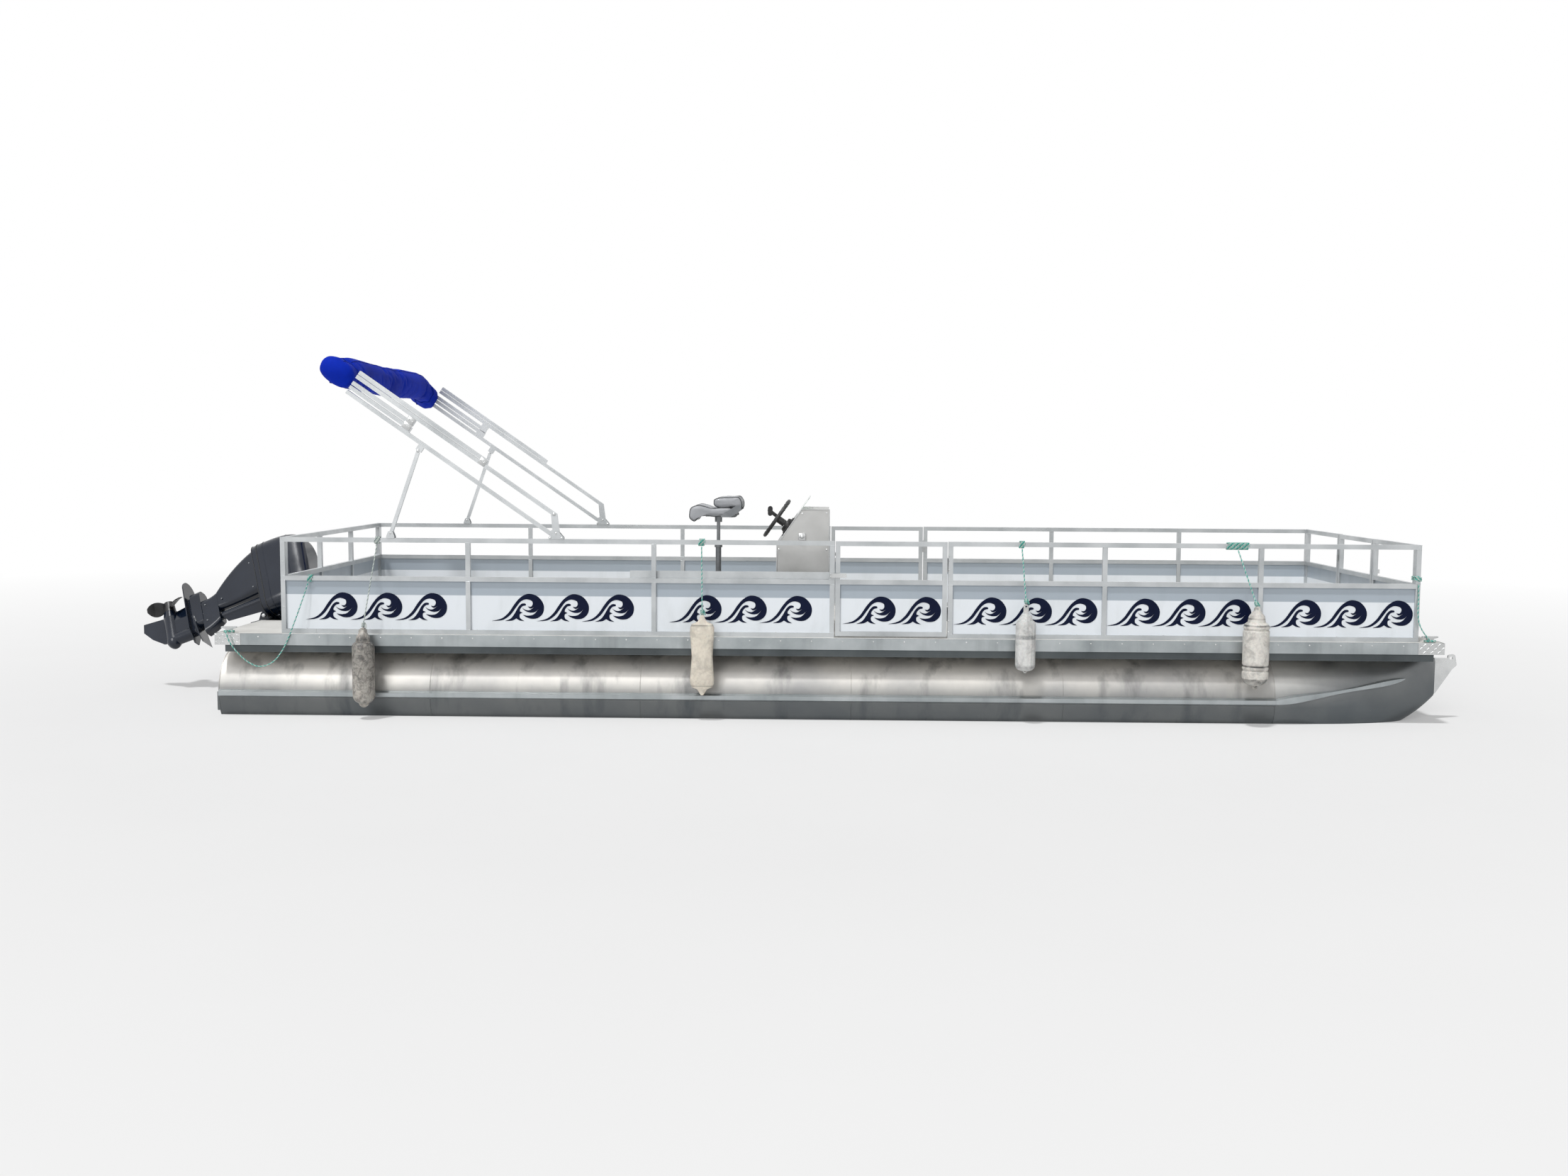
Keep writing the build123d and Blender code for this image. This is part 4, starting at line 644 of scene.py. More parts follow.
# The stern and bow ropes, each tied from a cleat to the fence; routes in mm
stern_route = (
    (72, -1210, 13), (76, -1262, 30), (96, -1288, -14), (114, -1272, -72), (162, -1264, -138),
    (232, -1264, -202), (314, -1264, -235), (410, -1264, -199), (476, -1264, -114), (522, -1258, -14),
    (570, -1236, 126), (612, -1214, 256), (641, -1192.5, 358.5),
)
bow_route = (
    (8362, -1192.5, 404), (8366, -1196, 315), (8358, -1205, 190), (8382, -1217, 84), (8452, -1209.5, 14),
)
CLEAT_Y = -1.1853
for name, route, cleat_x, post, post_half, post_axis in (
    ("stern_rope", stern_route, 0.072, at(0.652, -RAIL_Y, 0.389), (0.0215, 0.0215), (1, 0, 0)),
    ("bow_rope", bow_route, 8.458, at(8.362, -1.154, 0.442), (0.0375, 0.0215), (0, 0, 1)),
):
    route = [at(x / 1000, y / 1000, z / 1000) for x, y, z in route]
    line = route_line(route, 14)
    rope = laid_rope(f"{name}_line", line, ROPE_TEAL)
    band = winding(f"{name}_winding", post, post_axis, (0, -1, 0), post_half, 0.03, 3, ROPE_TEAL)
    ring = winding(f"{name}_cleat_turns", at(cleat_x, CLEAT_Y, 0.01), (0, 0, 1), (1, 0, 0), (0.034, 0.014),
                   0.01, 2, ROPE_TEAL)
    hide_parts(name)


# Running waves painted on the fence panels: each outline point is x, y and whether it is sharp

wave_crest = (
    (0, 0, 1), (14, 3.5, 0), (24, 11.5, 0), (33, 24, 0), (41, 32.5, 0), (51, 37.5, 0), (62, 36, 0),
    (70, 30, 0), (74.5, 21, 0), (73, 11, 0), (66, 4.5, 0), (57, 3.2, 0), (49, 5.5, 0), (44.5, 8.6, 1),
    (52, 7.6, 0), (60, 9.6, 0), (67.5, 17.6, 1), (62, 12.8, 0), (55, 11.8, 0), (48, 14, 0), (43.5, 18.2, 1),
    (48, 15.6, 0), (54, 15.2, 0), (61.5, 20, 1), (57, 17.6, 0), (54, 17.8, 0), (51.5, 20.2, 1), (56, 20, 0),
    (58.5, 23.5, 0), (57, 28, 0), (49, 30, 0), (41, 26.5, 0), (34, 18, 0), (26, 8, 0), (15, 1.2, 0),
)
wave_foot = (
    (19, 0, 1), (27, 3.5, 0), (33, 11, 0), (38, 19.5, 0), (43, 24, 0), (48, 24, 0), (48.5, 21.8, 0),
    (44, 20.5, 0), (40.5, 16.5, 0), (40, 13.4, 1), (44, 11.6, 1), (40, 9.4, 0), (40.5, 4, 0), (46.5, 0, 1),
    (40, 0.8, 0), (35, 3.6, 1), (29, 0.6, 0),
)
WAVE_SCALE = (0.369 / 75, 0.194 / 38)
WAVE_PITCH = 0.316
WAVE_LOW = 0.097
# Where each row starts and how many waves it has, on the fences and on the side gates
wave_rows = {
    "hull": ((0.6116, 3), (1.9261, 3), (3.1721, 3), (5.1596, 3), (6.2247, 3), (7.3398, 3)),
    "gate": ((4.388, 2),),
}


def smooth_outline(points, steps=6):
    """Outline through the points, rounded except at the sharp ones."""
    count = len(points)
    made = []
    for i in range(count):
        here, there = points[i], points[(i + 1) % count]
        before = here if here[2] else points[i - 1]
        after = there if there[2] else points[(i + 2) % count]
        for k in range(steps):
            t = k / steps
            weights = (-t + 2 * t**2 - t**3, 2 - 5 * t**2 + 3 * t**3, t + 4 * t**2 - 3 * t**3, t**3 - t**2)
            pulls = list(zip(weights, (before, here, there, after)))
            made.append(tuple(sum(w * p[c] for w, p in pulls) / 2 for c in (0, 1)))
    return made


for side, face in (("starboard", -1.1708), ("port", 1.1716)):
    for carrier, rows in wave_rows.items():
        shape = Shape()
        for start, count in rows:
            for number in range(count):
                place = basis(at(start + number * WAVE_PITCH, face, WAVE_LOW), (0, -1, 0), (1, 0, 0))
                for outline in (wave_crest, wave_foot):
                    flat = [(x * WAVE_SCALE[0], y * WAVE_SCALE[1]) for x, y in smooth_outline(outline)]
                    shape.prism(flat, place, 0.0008)
        body = "hull" if carrier == "hull" else f"{side}_gate"
        shape.make(f"{side}_{carrier}_waves", looks["wave_paint"], body, 30)


# Soft goods: each starts as an even grid of rows, is simulated as cloth and then gets its seams


def even_ring(outline, count):
    """The closed 2-D outline as this many evenly spaced points."""
    closed = outline + [outline[0]]
    steps = [math.dist(a, b) for a, b in zip(closed, closed[1:])]
    total = sum(steps)
    made = []
    for k in range(count):
        want = total * k / count
        i = 0
        while want > steps[i]:
            want -= steps[i]
            i += 1
        (ax, ay), (bx, by) = closed[i], closed[i + 1]
        t = want / steps[i]
        made.append((ax + (bx - ax) * t, ay + (by - ay) * t))
    return made


def settle_cloth(obj, pinned, pressure, growth, frames, stiffness, bending):
    """Runs the cloth with these vertices pinned, keeps its last shape, and adds one subdivision."""
    group = obj.vertex_groups.new(name="pins")
    group.add(sorted(set(pinned)), 1.0, "REPLACE")
    modifier = obj.modifiers.new("cloth", "CLOTH")
    settings = modifier.settings
    settings.quality = 6
    settings.mass = 0.25
    settings.tension_stiffness = stiffness
    settings.compression_stiffness = stiffness
    settings.shear_stiffness = stiffness / 2
    settings.bending_stiffness = bending
    settings.use_pressure = True
    settings.uniform_pressure_force = pressure
    settings.shrink_min = -growth
    settings.vertex_group_mass = "pins"
    settings.effector_weights.gravity = 0
    modifier.point_cache.frame_start = 1
    modifier.point_cache.frame_end = frames
    for number in range(1, frames + 1):
        scene.frame_set(number)
    settled = bpy.data.meshes.new_from_object(obj.evaluated_get(bpy.context.evaluated_depsgraph_get()))
    for vertex, after in zip(obj.data.vertices, settled.vertices):
        vertex.co = after.co
    obj.modifiers.remove(modifier)
    bpy.data.meshes.remove(settled)
    scene.frame_set(1)
    smooth = obj.modifiers.new("smooth", "SUBSURF")
    smooth.levels = 1
    smooth.render_levels = 1


def surface_line(obj, indices, lift):
    """Places just outside these vertices of an object, along its own normals."""
    return [obj.data.vertices[i].co + obj.data.vertices[i].normal * lift for i in indices]


def rounded_end(y, half, corner):
    """Share of a form's full height that is left here, where its ends are rounded."""
    inward = max(0.0, abs(y) - (half - corner)) / corner
    return math.sqrt(max(0.0, 1 - inward**2))


# The boot round the folded canopy, drawn along the folded tubes (s), across them (n) and to port

LEAN = math.radians(34.7)
boot_origin = at(2.385, 0, 0.715)
along_tubes = Vector((-math.cos(LEAN), 0, math.sin(LEAN)))
across_tubes = Vector((math.sin(LEAN), 0, math.cos(LEAN)))


def boot_point(s, n, y):
    """A place given along and across the folded tubes and to port."""
    return boot_origin + along_tubes * s + across_tubes * n + Vector((0, y, 0))


def squared(value):
    """Cosine or sine of a section that is a little squarer than an oval."""
    return math.copysign(abs(value) ** 0.82, value)


BOOT_S, BOOT_N = 1.885, 0.036
BOOT_HALF_S, BOOT_HALF_N = 0.127, 0.088
BOOT_END = 1.218
BOOT_CORNER = 0.075
BOOT_DROOP_FROM = 0.86
BOOT_ROWS, BOOT_COUNT = 176, 60
ZIP_COLUMN, CROWN_COLUMN = 45, 15
# Rows that the two straps tie, and how far each one gathers the cloth
straps = {13: 7, 163: 13}
boot_section = [(BOOT_S + BOOT_HALF_S * squared(c), BOOT_N + BOOT_HALF_N * squared(s)) for c, s in circle(72)]
boot_ring = even_ring(boot_section, BOOT_COUNT)
rings = []
for row in range(BOOT_ROWS + 1):
    y = -BOOT_END + 2 * BOOT_END * row / BOOT_ROWS
    size = max(0.1, rounded_end(y, BOOT_END, BOOT_CORNER))
    sag = 0.01 * math.cos(math.pi * y / BOOT_END)
    droop = max(0.0, (y - BOOT_DROOP_FROM) / (BOOT_END - BOOT_DROOP_FROM)) ** 2
    lump = 1 + 0.02 * math.sin(5.3 * y + 0.6)
    tied = max(0.05 * math.exp(-(((row - strap) / reach) ** 2)) for strap, reach in straps.items())
    ring = []
    for k, (s, n) in enumerate(boot_ring):
        fold = math.sin(2 * math.pi * k * 7 / BOOT_COUNT + 0.02 * row)
        finer_fold = math.sin(2 * math.pi * k * 11 / BOOT_COUNT + 1.3)
        crease = tied * (0.5 * fold + 0.5 * finer_fold)
        full = size * lump * (1 - 1.1 * tied + crease)
        hang = droop * (0.09 if n < BOOT_N else 0.05)
        ring.append(boot_point(BOOT_S + (s - BOOT_S) * full - 0.05 * droop,
                               BOOT_N - sag - hang + (n - BOOT_N) * full, y))
    rings.append(ring)
boot_shape = Shape()
boot_shape.skin(rings)
boot = boot_shape.make("boot_cover", looks["boot_cloth"], "canopy", 180)
long_rows = range(4, BOOT_ROWS - 3)
pins = [row * BOOT_COUNT + ZIP_COLUMN + k for row in long_rows[::2] for k in (0, 1)]
pins += [row * BOOT_COUNT + k for row in straps for k in range(0, BOOT_COUNT, 2)]
pins += [row * BOOT_COUNT + k for row in (0, BOOT_ROWS) for k in range(BOOT_COUNT)]
settle_cloth(boot, pins, 1.6, 0.012, 16, 12, 0.8)
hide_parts("canopy_boot")

seams = Shape()
for column, lift, radius, sides in ((ZIP_COLUMN, 0.002, 0.0035, 8), (CROWN_COLUMN, 0.0015, 0.0016, 6)):
    seams.tube(surface_line(boot, [row * BOOT_COUNT + column for row in long_rows], lift), radius, sides)
for row in straps:
    strap = surface_line(boot, [row * BOOT_COUNT + k for k in range(BOOT_COUNT)], 0.0015)
    seams.tube(strap, 0.0028, 6, closed=True)
seams.make("boot_seams", looks["boot_seam"], "canopy", 80)


# The helm seat's cushion and back, in side view from the seat's height, and their piping

SEAT_Y, SEAT_HALF, SEAT_H = -0.58, 0.201, 0.826
SEAT_ROWS = 46
SEAT_SEAMS = (15, 31)
SEAT_CORNER = 0.018
cushion_outline = (
    (3.618, 0.002), (3.58, 0.055), (3.52, 0.058), (3.45, 0.056), (3.395, 0.066), (3.345, 0.074), (3.3, 0.062),
    (3.284, 0.026), (3.286, -0.012), (3.316, -0.036), (3.345, -0.008), (3.38, 0.003), (3.46, 0.002),
    (3.54, 0.002),
)
back_outline = (
    (3.61, 0.068), (3.56, 0.068), (3.5, 0.068), (3.468, 0.078), (3.458, 0.1), (3.47, 0.122), (3.52, 0.13),
    (3.59, 0.134), (3.635, 0.134), (3.654, 0.1), (3.658, 0.066), (3.645, 0.052), (3.626, 0.056),
)


def seat_pad(name, outline, body, node):
    """Padded form from a side outline, rounded toward both sides, with piping round each side."""
    count = 84
    ring = even_ring(smooth_outline([(x, SEAT_H + z, 0) for x, z in outline], 5), count)
    area = sum(a[0] * b[1] - b[0] * a[1] for a, b in zip(ring, ring[1:] + ring[:1]))
    turning = 1 if area > 0 else -1
    rings = []
    for row in range(SEAT_ROWS + 1):
        y = -SEAT_HALF + 2 * SEAT_HALF * row / SEAT_ROWS
        inset = SEAT_CORNER * (1 - rounded_end(y, SEAT_HALF, SEAT_CORNER))
        made = []
        for k, (x, z) in enumerate(ring):
            (ax, az), (bx, bz) = ring[k - 1], ring[(k + 1) % count]
            tangent = math.hypot(bx - ax, bz - az) or 1
            nx, nz = (bz - az) / tangent, -(bx - ax) / tangent
            made.append(at(x - nx * inset * turning, SEAT_Y + y, z - nz * inset * turning))
        rings.append(made)
    shape = Shape()
    shape.skin(rings)
    obj = shape.make(name, looks["seat_vinyl"], body, 180)
    pinned_rows = (0, 1, *SEAT_SEAMS, SEAT_ROWS - 1, SEAT_ROWS)
    settle_cloth(obj, [row * count + k for row in pinned_rows for k in range(count)], 1.2, 0.02, 10, 18, 2)
    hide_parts(node)
    piping = Shape()
    edges = [(row, 0.0008, 0.0036, 8) for row in (2, SEAT_ROWS - 2)]
    seams = [(row, 0.0002, 0.0018, 6) for row in SEAT_SEAMS]
    for row, lift, radius, sides in edges + seams:
        line = surface_line(obj, [row * count + k for k in range(count)], lift)
        piping.tube(line, radius, sides, closed=True)
    piping.make(f"{name}_piping", looks["seat_piping"], body, 80)


seat_pad("seat_cushion_pad", cushion_outline, "helm_seat", "seat_cushion")
seat_pad("seat_back_pad", back_outline, "seat_back", "seat_back")


# Hull details: weld seams, rivets, screws, splices and tread lugs

TUBE_RADIUS = 0.292
TUBE_Y = 0.915
TUBE_Z = 0.304
RUB_FACE_Y = 1.2476
CAP_FACE_Y = 1.2503
FENCE_BEAD = 0.0014


def bead(shape, start, end, radius):
    """Weld bead between two points, slightly uneven."""
    count = max(4, int((end - start).length / 0.003))
    points = [start.lerp(end, k / count) for k in range(count + 1)]
    shape.tube(points, [radius * (1 + 0.25 * math.sin(k * 2.1)) for k in range(count + 1)], 6)


def tube_ring(x, radius, count, sign):
    return [Vector((DECK_AFT + x, sign * TUBE_Y + radius * c, TUBE_Z + radius * s)) for c, s in circle(count)]


tube_welds = Shape()
for sign in SIDES:
    for x in (1.49, 2.97, 4.45, 5.93, 7.4):
        radii = [0.0026 + 0.0005 * math.sin(k * 1.7) for k in range(160)]
        tube_welds.tube(tube_ring(x, TUBE_RADIUS, 160, sign), radii, 6, closed=True)
    tube_welds.tube(tube_ring(-0.0035, TUBE_RADIUS - 0.001, 120, sign), 0.004, 6, closed=True)
for sign in SIDES:
    # Above and below the strake
    for up, off in ((0.031, 0.0015), (-0.021, -0.0015)):
        side = sign * (TUBE_Y + math.sqrt(TUBE_RADIUS**2 - up**2) + 0.0006)
        line = [Vector((DECK_AFT + 0.01 * k, side, TUBE_Z + up + off)) for k in range(740)]
        tube_welds.tube(line, [0.0032 + 0.0006 * math.sin(2.3 * k) for k in range(740)], 6)
tube_welds.make("tube_welds", looks["tube_metal"], "hull", 80)

RAIL_LEVELS = (0.032, 0.373, 0.405, 0.643)
fence_welds = Shape()
for sign in SIDES:
    for posts in ((0.461, 1.763, 3.065, 4.31), (5.134, 6.203, 7.281, 8.362)):
        for post in posts:
            # The outer side of a fence's first and last post has no rail
            sides = [side for side in SIDES if post != posts[0 if side < 0 else -1]]
            for level in RAIL_LEVELS:
                for face in (FENCE_Y, FENCE_Y - RAIL):
                    aft, bow = (at(post + side * RAIL / 2, sign * face, level) for side in SIDES)
                    bead(fence_welds, aft, bow, FENCE_BEAD)
                for side in sides:
                    x = post + side * RAIL / 2
                    inner, outer = (at(x, sign * y, level) for y in (FENCE_Y - RAIL, FENCE_Y))
                    bead(fence_welds, inner, outer, FENCE_BEAD)
fence_welds.make("fence_welds", looks["rail_metal"], "hull", 80)


def domed(shape, place, radius, height, sides=12):
    """Low domed head; place's z points out of the surface."""
    profile = ((1, 0), (1, 0.35), (0.8, 0.75), (0.45, 1))
    shape.lathe([(radius * wide, height * up) for wide, up in profile] + [(0.0002, height)], place, sides)


def hex_head(shape, place, radius, height):
    """Hexagonal head on its washer; place's z points out of the surface."""
    shape.lathe([(radius * 1.15, 0), (radius * 1.15, 0.0012), (radius, 0.0013), (radius, height),
                 (radius * 0.8, height + 0.0008), (0.0002, height + 0.0008)], place, 6)


rivets = Shape()
for sign in SIDES:
    places = [(5.123, FENCE_Y, z) for z in (0.045, 0.125, 0.2, 0.452, 0.48, 0.545, 0.575)]
    places += [(0.461, FENCE_Y, z) for z in (0.505, 0.185)]
    places += [(4.3, FENCE_Y + 0.0143, z - 0.015) for z in (0.44, 0.46)]
    for x, y, z in places:
        domed(rivets, basis(at(x, sign * y, z), (0, sign, 0)), 0.0045, 0.003)
    for k in range(38):
        domed(rivets, basis(at(0.3 + 0.215 * k, sign * RUB_FACE_Y, -0.02), (0, sign, 0)), 0.005, 0.002)
for x in [0.62 + 0.3 * k for k in range(27)]:
    for sign in SIDES:
        if not 4.3 < x < 5.12:
            domed(rivets, basis(at(x, sign * RAIL_Y, 0.032), (0, 0, 1)), 0.0045, 0.0025)
rivets.make("fence_rivets", looks["bright_metal"], "hull", 50)

splices = Shape()
for x in (0.69, 1.14, 3.6, 6.75):
    for sign in SIDES:
        bead(splices, at(x, sign * FENCE_Y, 0.001), at(x, sign * FENCE_Y, 0.031), 0.0015)
# Mitred corners of the top rails
for sign in SIDES:
    for x, inner in ((0.445, 0.445 + RAIL), (8.378, 8.378 - RAIL)):
        corner = at(x, sign * FENCE_Y, 0.675)
        bead(splices, corner, at(inner, sign * FENCE_Y, 0.643), 0.0012)
        bead(splices, corner, at(inner, sign * (FENCE_Y - RAIL), 0.675), 0.0012)
splices.make("rail_splices", looks["rail_metal"], "hull", 80)


LUG_LENGTH, LUG_WIDTH, LUG_HEIGHT = 0.03, 0.009, 0.0018
LUG_PITCH = 0.025


def tread_lug(shape, place):
    """One raised lug of the tread plate, pointed at both ends; place's z points out."""
    ends = ((-0.5, 0), (-0.25, -0.5), (0.25, -0.5), (0.5, 0), (0.25, 0.5), (-0.25, 0.5))
    low = [shape.bm.verts.new(place @ Vector((x * LUG_LENGTH, y * LUG_WIDTH, 0))) for x, y in ends]
    top = [(x * LUG_LENGTH * 0.75, y * LUG_WIDTH * 0.5, LUG_HEIGHT) for x, y in ends]
    high = [shape.bm.verts.new(place @ Vector(corner)) for corner in top]
    shape.face(high)
    for k in range(6):
        n = (k + 1) % 6
        shape.face((low[k], low[n], high[n], high[k]))


# On the corner caps' outer faces the lugs lean left and right by turns
cap_lugs = Shape()
for sign, starts in ((-1, (-0.004, 8.36)), (1, (0.17, 8.534))):
    across, up = Vector((-sign, 0, 0)), Vector((0, 0, 1))
    for start in starts:
        for row in range(3):
            for column in range(7):
                middle = at(start, sign * CAP_FACE_Y, -0.076) + across * LUG_PITCH * (column + 0.5)
                place = basis(middle + up * LUG_PITCH * (row + 0.5), across.cross(up), across)
                turn = math.radians(45 if (row + column) % 2 else -45)
                tread_lug(cap_lugs, place @ Matrix.Rotation(turn, 4, "Z"))
cap_lugs.make("corner_cap_tread", looks["bright_metal"], "hull", 20)


# Motor details, in the steered motor's own frame: x ahead, y to port, z up the leg

motor_up = Vector((0.92718, 0, 0.37461))
tilted_ahead = Vector((0.37461, 0, -0.92718))
motor_ahead = tilted_ahead * math.cos(math.radians(30)) - Vector((0, 1, 0)) * math.sin(math.radians(30))
motor_port = motor_up.cross(motor_ahead)
motor_place = Matrix((motor_ahead, motor_port, motor_up)).transposed().to_4x4()
motor_place.translation = Vector((-3.9622, 0, 0.8514))


def round_cowl(shape, front, back, half, corner, height, radius):
    """Tube round a rounded rectangle across the leg."""
    points = []
    for cx, cy, start in ((front - corner, half - corner, 0), (back + corner, half - corner, 90),
                          (back + corner, -half + corner, 180), (front - corner, -half + corner, 270)):
        corner_line = arc(corner, start, start + 90, cx, cy, 9)
        points += [motor_place @ Vector((x, y, height)) for x, y in corner_line]
    shape.tube(points, radius, 8, closed=True)


seal = Shape()
round_cowl(seal, 0.1905, -0.4305, 0.1655, 0.094, 0.098, 0.0032)
round_cowl(seal, 0.1875, -0.4295, 0.1625, 0.093, 0.056, 0.0022)
seal.make("cowl_seal", looks["rubber"], "motor", 80)

cowl_trim = Shape()
round_cowl(cowl_trim, 0.1938, -0.4335, 0.1678, 0.099, 0.15, 0.002)
round_cowl(cowl_trim, 0.1812, -0.4252, 0.1618, 0.104, 0.335, 0.002)
cowl_trim.box((-0.438, 0, 0.118), (0.012, 0.07, 0.03), motor_place, 0.004)
cowl_trim.box((0.197, 0, 0.118), (0.01, 0.06, 0.026), motor_place, 0.004)
for k in range(6):
    cowl_trim.box((-0.405 + 0.006 * k, 0, 0.372 + 0.011 * k), (0.02, 0.15, 0.004), motor_place, 0.0015)
cowl_trim.make("cowl_trim", looks["motor_paint"], "motor", 40)

bolts = Shape()
for sign in SIDES:
    for x, z, half in ((-0.1, -0.02, 0.0705), (-0.32, -0.02, 0.0705), (-0.12, -0.3, 0.0505),
                       (0.02, -0.44, 0.0555), (-0.12, -0.44, 0.0555)):
        hex_head(bolts, basis(motor_place @ Vector((x, sign * half, z)), motor_port * sign), 0.006, 0.004)
bolts.make("motor_bolts", looks["pole_metal"], "motor", 30)

clamp_bolts = Shape()
for sign in SIDES:
    for z in (-0.085, -0.15, -0.22, -0.28):
        hex_head(clamp_bolts, basis(at(-0.1335, sign * 0.08, z), (-1, 0, 0)), 0.0085, 0.006)
    hex_head(clamp_bolts, basis(at(-0.082, sign * 0.1, 0.008), (0, sign, 0)), 0.013, 0.008)
clamp_bolts.make("clamp_bolts", looks["bright_metal"], "hull", 30)


# Canopy details: ribs along the tubes, rounded fittings, pins and bolts

ribs = Shape()
fittings = Shape()
for sign in SIDES:
    for across, start in ((-0.026, 0.03), (0.014, 1.27), (0.048, 1.27), (0.101, 0.072), (0.133, 0.69)):
        for face in SIDES:
            y = sign * RAIL_Y + face * 0.0136
            for offset in (-0.0042, 0.0042):
                ribs.tube([boot_point(s, across + offset, y) for s in (start + 0.002, 1.74)], 0.0008, 4)
    for s, n, half in ((1.27, 0.02, 0.03), (1.27, 0.064, 0.026), (0.7, 0.117, 0.026)):
        place = basis(boot_point(s, n, sign * (RAIL_Y + 0.0135)), (0, sign, 0), along_tubes)
        fittings.box((0, 0, 0.003), (2 * half, 0.05, 0.006), place, 0.0025)
        for dx in (-0.5, 0.5):
            hex_head(fittings, basis(place @ Vector((dx * half, 0, 0.006)), (0, sign, 0)), 0.005, 0.003)
    for s, n in ((0.088, 0.1), (0.0, 0.0), (1.112, -0.08)):
        domed(fittings, basis(boot_point(s, n, sign * (RAIL_Y + 0.0137)), (0, sign, 0)), 0.012, 0.006, 20)
ribs.make("canopy_tube_ribs", looks["canopy_metal"], "canopy", 60)
fittings.make("canopy_fittings", looks["bright_metal"], "canopy", 40)

mount_bolts = Shape()
for sign in SIDES:
    for x, z in ((2.345, 0.684), (2.425, 0.684), (2.385, 0.715), (1.224, 0.707)):
        for face in SIDES:
            hex_head(mount_bolts, basis(at(x, sign * RAIL_Y + face * 0.0252, z), (0, face, 0)), 0.007, 0.004)
mount_bolts.make("mount_bolts", looks["bright_metal"], "hull", 30)


# Helm details: dash dials and switches, console edges and screws, wheel grips

DASH_RUN, DASH_DROP = 0.176, 0.25
dash_up = Vector((DASH_RUN, 0, DASH_DROP)).normalized()
starboard = Vector((0, -1, 0))
dash_middle = at(3.918 + DASH_RUN / 2, -0.6, 0.885 - DASH_DROP / 2) - dash_up * 0.015
dash_place = basis(dash_middle, (-DASH_DROP, 0, DASH_RUN), starboard)

dials = Shape()
for x, y, radius in ((0.098, 0.04, 0.026), (0.098, -0.034, 0.026), (-0.055, 0.052, 0.018)):
    place = dash_place @ Matrix.Translation((x, y, 0.0053))
    bezel = [(radius, 0), (radius, 0.006), (radius * 0.88, 0.007), (radius * 0.86, 0.003), (0.0002, 0.003)]
    dials.lathe(bezel, place, 36, 0)
    dials.lathe([(radius * 0.85, 0.003), (radius * 0.85, 0.0034), (0.0002, 0.0034)], place, 36, 1)
    for k in range(11):
        turn = Matrix.Rotation(-math.radians(-130 + 26 * k), 4, "Z")
        mark = place @ turn @ Matrix.Translation((0, radius * 0.7, 0.0038))
        dials.box((0, 0, 0), (radius * 0.045, radius * 0.18, 0.0006), mark)
    turn = Matrix.Rotation(math.radians(40), 4, "Z")
    needle = place @ turn @ Matrix.Translation((0, radius * 0.28, 0.0044))
    dials.box((0, 0, 0), (radius * 0.06, radius * 0.75, 0.0006), needle, 0, 2)
for k in range(3):
    place = dash_place @ Matrix.Translation((-0.065 + 0.022 * k, -0.052, 0.0053))
    dials.box((0, 0, 0.004), (0.011, 0.022, 0.008), place, 0.002)
dials.make("dash_dials", [looks["black_plastic"], looks["dial_face"], looks["needle_paint"]], "hull", 40)

CONSOLE_SIDES = (-0.95, -0.35)
console_trim = Shape()
for y in CONSOLE_SIDES:
    profile = ((3.918, 0.004), (3.918, 0.635), (4.094, 0.885), (4.29, 0.885), (4.29, 0.004))
    console_trim.tube([at(x, y, z) for x, z in profile], 0.0042, 8)
screws = [(x, z) for x in (3.935, 4.272) for z in (0.06, 0.33, 0.6)]
screws += [(4.272, 0.86), (4.097, 0.855), (4.14, 0.42)]
for x, z in screws:
    for y, way in zip(CONSOLE_SIDES, SIDES):
        domed(console_trim, basis(at(x, y, z), (0, way, 0)), 0.006, 0.0025)
place = basis(at(4.097, -0.95, 0.693), starboard, (1, 0, 0))
console_trim.box((0, 0, 0.01), (0.05, 0.05, 0.02), place, 0.006)
domed(console_trim, basis(at(4.097, -0.97, 0.693), starboard), 0.014, 0.01, 20)
console_trim.make("console_trim", looks["bright_metal"], "hull", 40)

WHEEL_RADIUS, GRIP_RADIUS = 0.1392, 0.0135
wheel_place = dash_place @ Matrix.Translation((0, 0, 0.106))
wheel_grips = Shape()
for across, up in circle(20):
    ring = []
    for c, s in circle(20):
        x = WHEEL_RADIUS * across + GRIP_RADIUS * c * across
        y = WHEEL_RADIUS * up + GRIP_RADIUS * c * up
        ring.append(wheel_place @ Vector((x, y, GRIP_RADIUS * s)))
    wheel_grips.tube(ring, 0.0016, 6, closed=True)
wheel_grips.lathe([(0.03, 0.004), (0.028, 0.01), (0.02, 0.014), (0.0002, 0.015)], wheel_place, 30)
wheel_grips.make("wheel_grips", looks["rubber"], "steering_wheel", 60)


# Floor at the waterline, backdrop and studio light

floor_material = Nodes("studio_floor")
floor_material.settings(Roughness=0.9, Specular_IOR_Level=0.2)
floor_noise = floor_material.noise(0.8, detail=4)
floor_material.colour(floor_material.mix(floor_noise, (0.82, 0.82, 0.82), (0.79, 0.79, 0.79)))
floor_shape = Shape()
corners = [(-60, -60), (60, -60), (60, 60), (-60, 60)]
floor_shape.prism(corners, Matrix.Translation((0, 0, WATER_Z - 0.02)), 0.02)
floor = floor_shape.make("studio_floor", floor_material.material, ride=False)


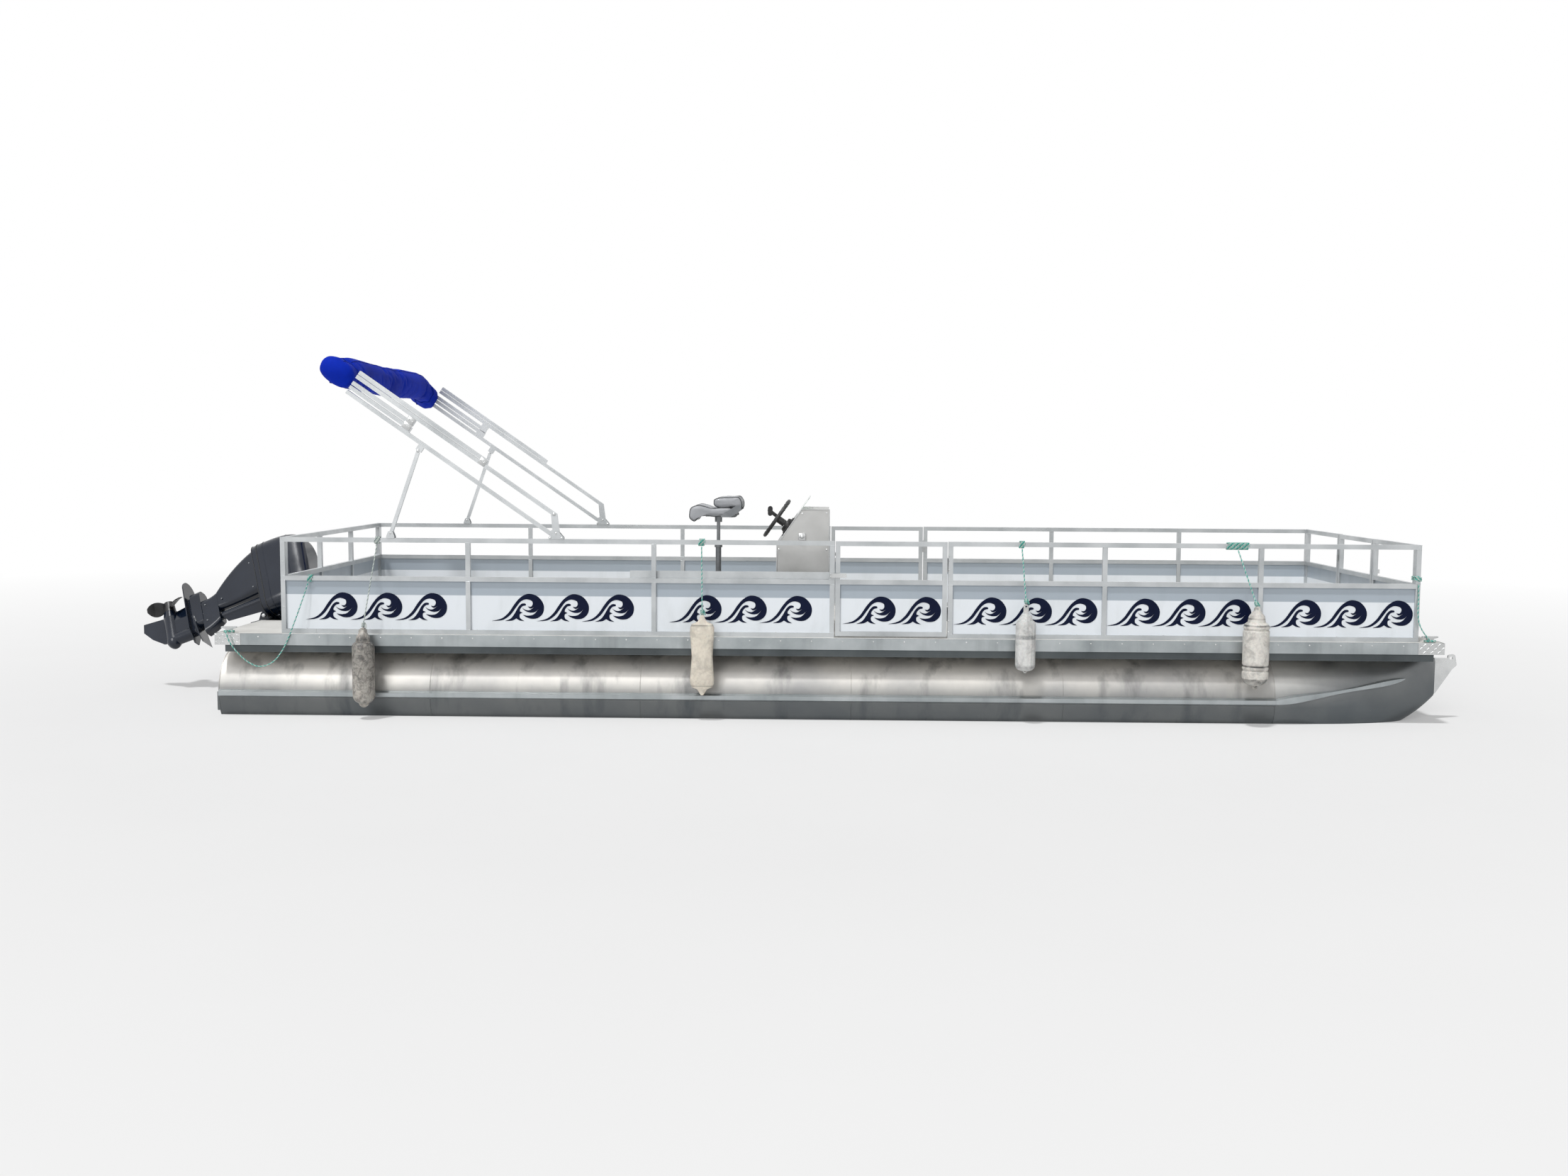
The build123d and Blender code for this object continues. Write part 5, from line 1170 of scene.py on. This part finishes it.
def seen_directly(tree):
    """1 for rays from the camera, a mirror or through glass, and 0 for the rays that light the scene."""
    path = tree.nodes.new("ShaderNodeLightPath")
    total = path.outputs["Is Camera Ray"]
    for name in ("Is Glossy Ray", "Is Transmission Ray"):
        larger = tree.nodes.new("ShaderNodeMath")
        larger.operation = "MAXIMUM"
        tree.links.new(total, larger.inputs[0])
        tree.links.new(path.outputs[name], larger.inputs[1])
        total = larger.outputs[0]
    return total


# Far from the boat the floor turns into the white of the backdrop, so that no horizon shows
tree = floor_material.tree
distance = floor_material.add("VectorMath", Vector=floor_material.coords)
distance.operation = "LENGTH"
white = floor_material.add("Emission")
share = floor_material.add("Math")
share.operation = "MULTIPLY"
tree.links.new(seen_directly(tree), share.inputs[0])
tree.links.new(floor_material.fade(distance.outputs["Value"], 5, 16, 0.25, 1.0), share.inputs[1])
blend = floor_material.add("MixShader", Fac=share.outputs[0])
tree.links.new(floor_material.shader.outputs[0], blend.inputs[1])
tree.links.new(white.outputs[0], blend.inputs[2])
tree.links.new(blend.outputs[0], tree.nodes["Material Output"].inputs["Surface"])

world = bpy.data.worlds.new("studio_world")
scene.world = world
world.use_nodes = True
tree = world.node_tree
background = tree.nodes["Background"]
background.inputs["Color"].default_value = (1, 1, 1, 1)
strength = tree.nodes.new("ShaderNodeMapRange")
strength.inputs["To Min"].default_value = 0.3
strength.inputs["To Max"].default_value = 1
tree.links.new(seen_directly(tree), strength.inputs["Value"])
tree.links.new(strength.outputs["Result"], background.inputs["Strength"])


def far_lamp(name, place, power, spread):
    """Large distant lamp at this place, aimed at the origin; spread is its size as an angle in degrees."""
    data = bpy.data.lights.new(name, "SUN")
    data.energy = power
    data.angle = math.radians(spread)
    obj = bpy.data.objects.new(name, data)
    obj.matrix_world = basis(place, place, (1, 0, 0))
    scene.collection.objects.link(obj)


far_lamp("key_lamp", (-2.4, -3.9, 11.5), 1.85, 5)
far_lamp("front_lamp", (-3.5, -9, 5.2), 0.85, 25)

scene.view_settings.view_transform = "Standard"
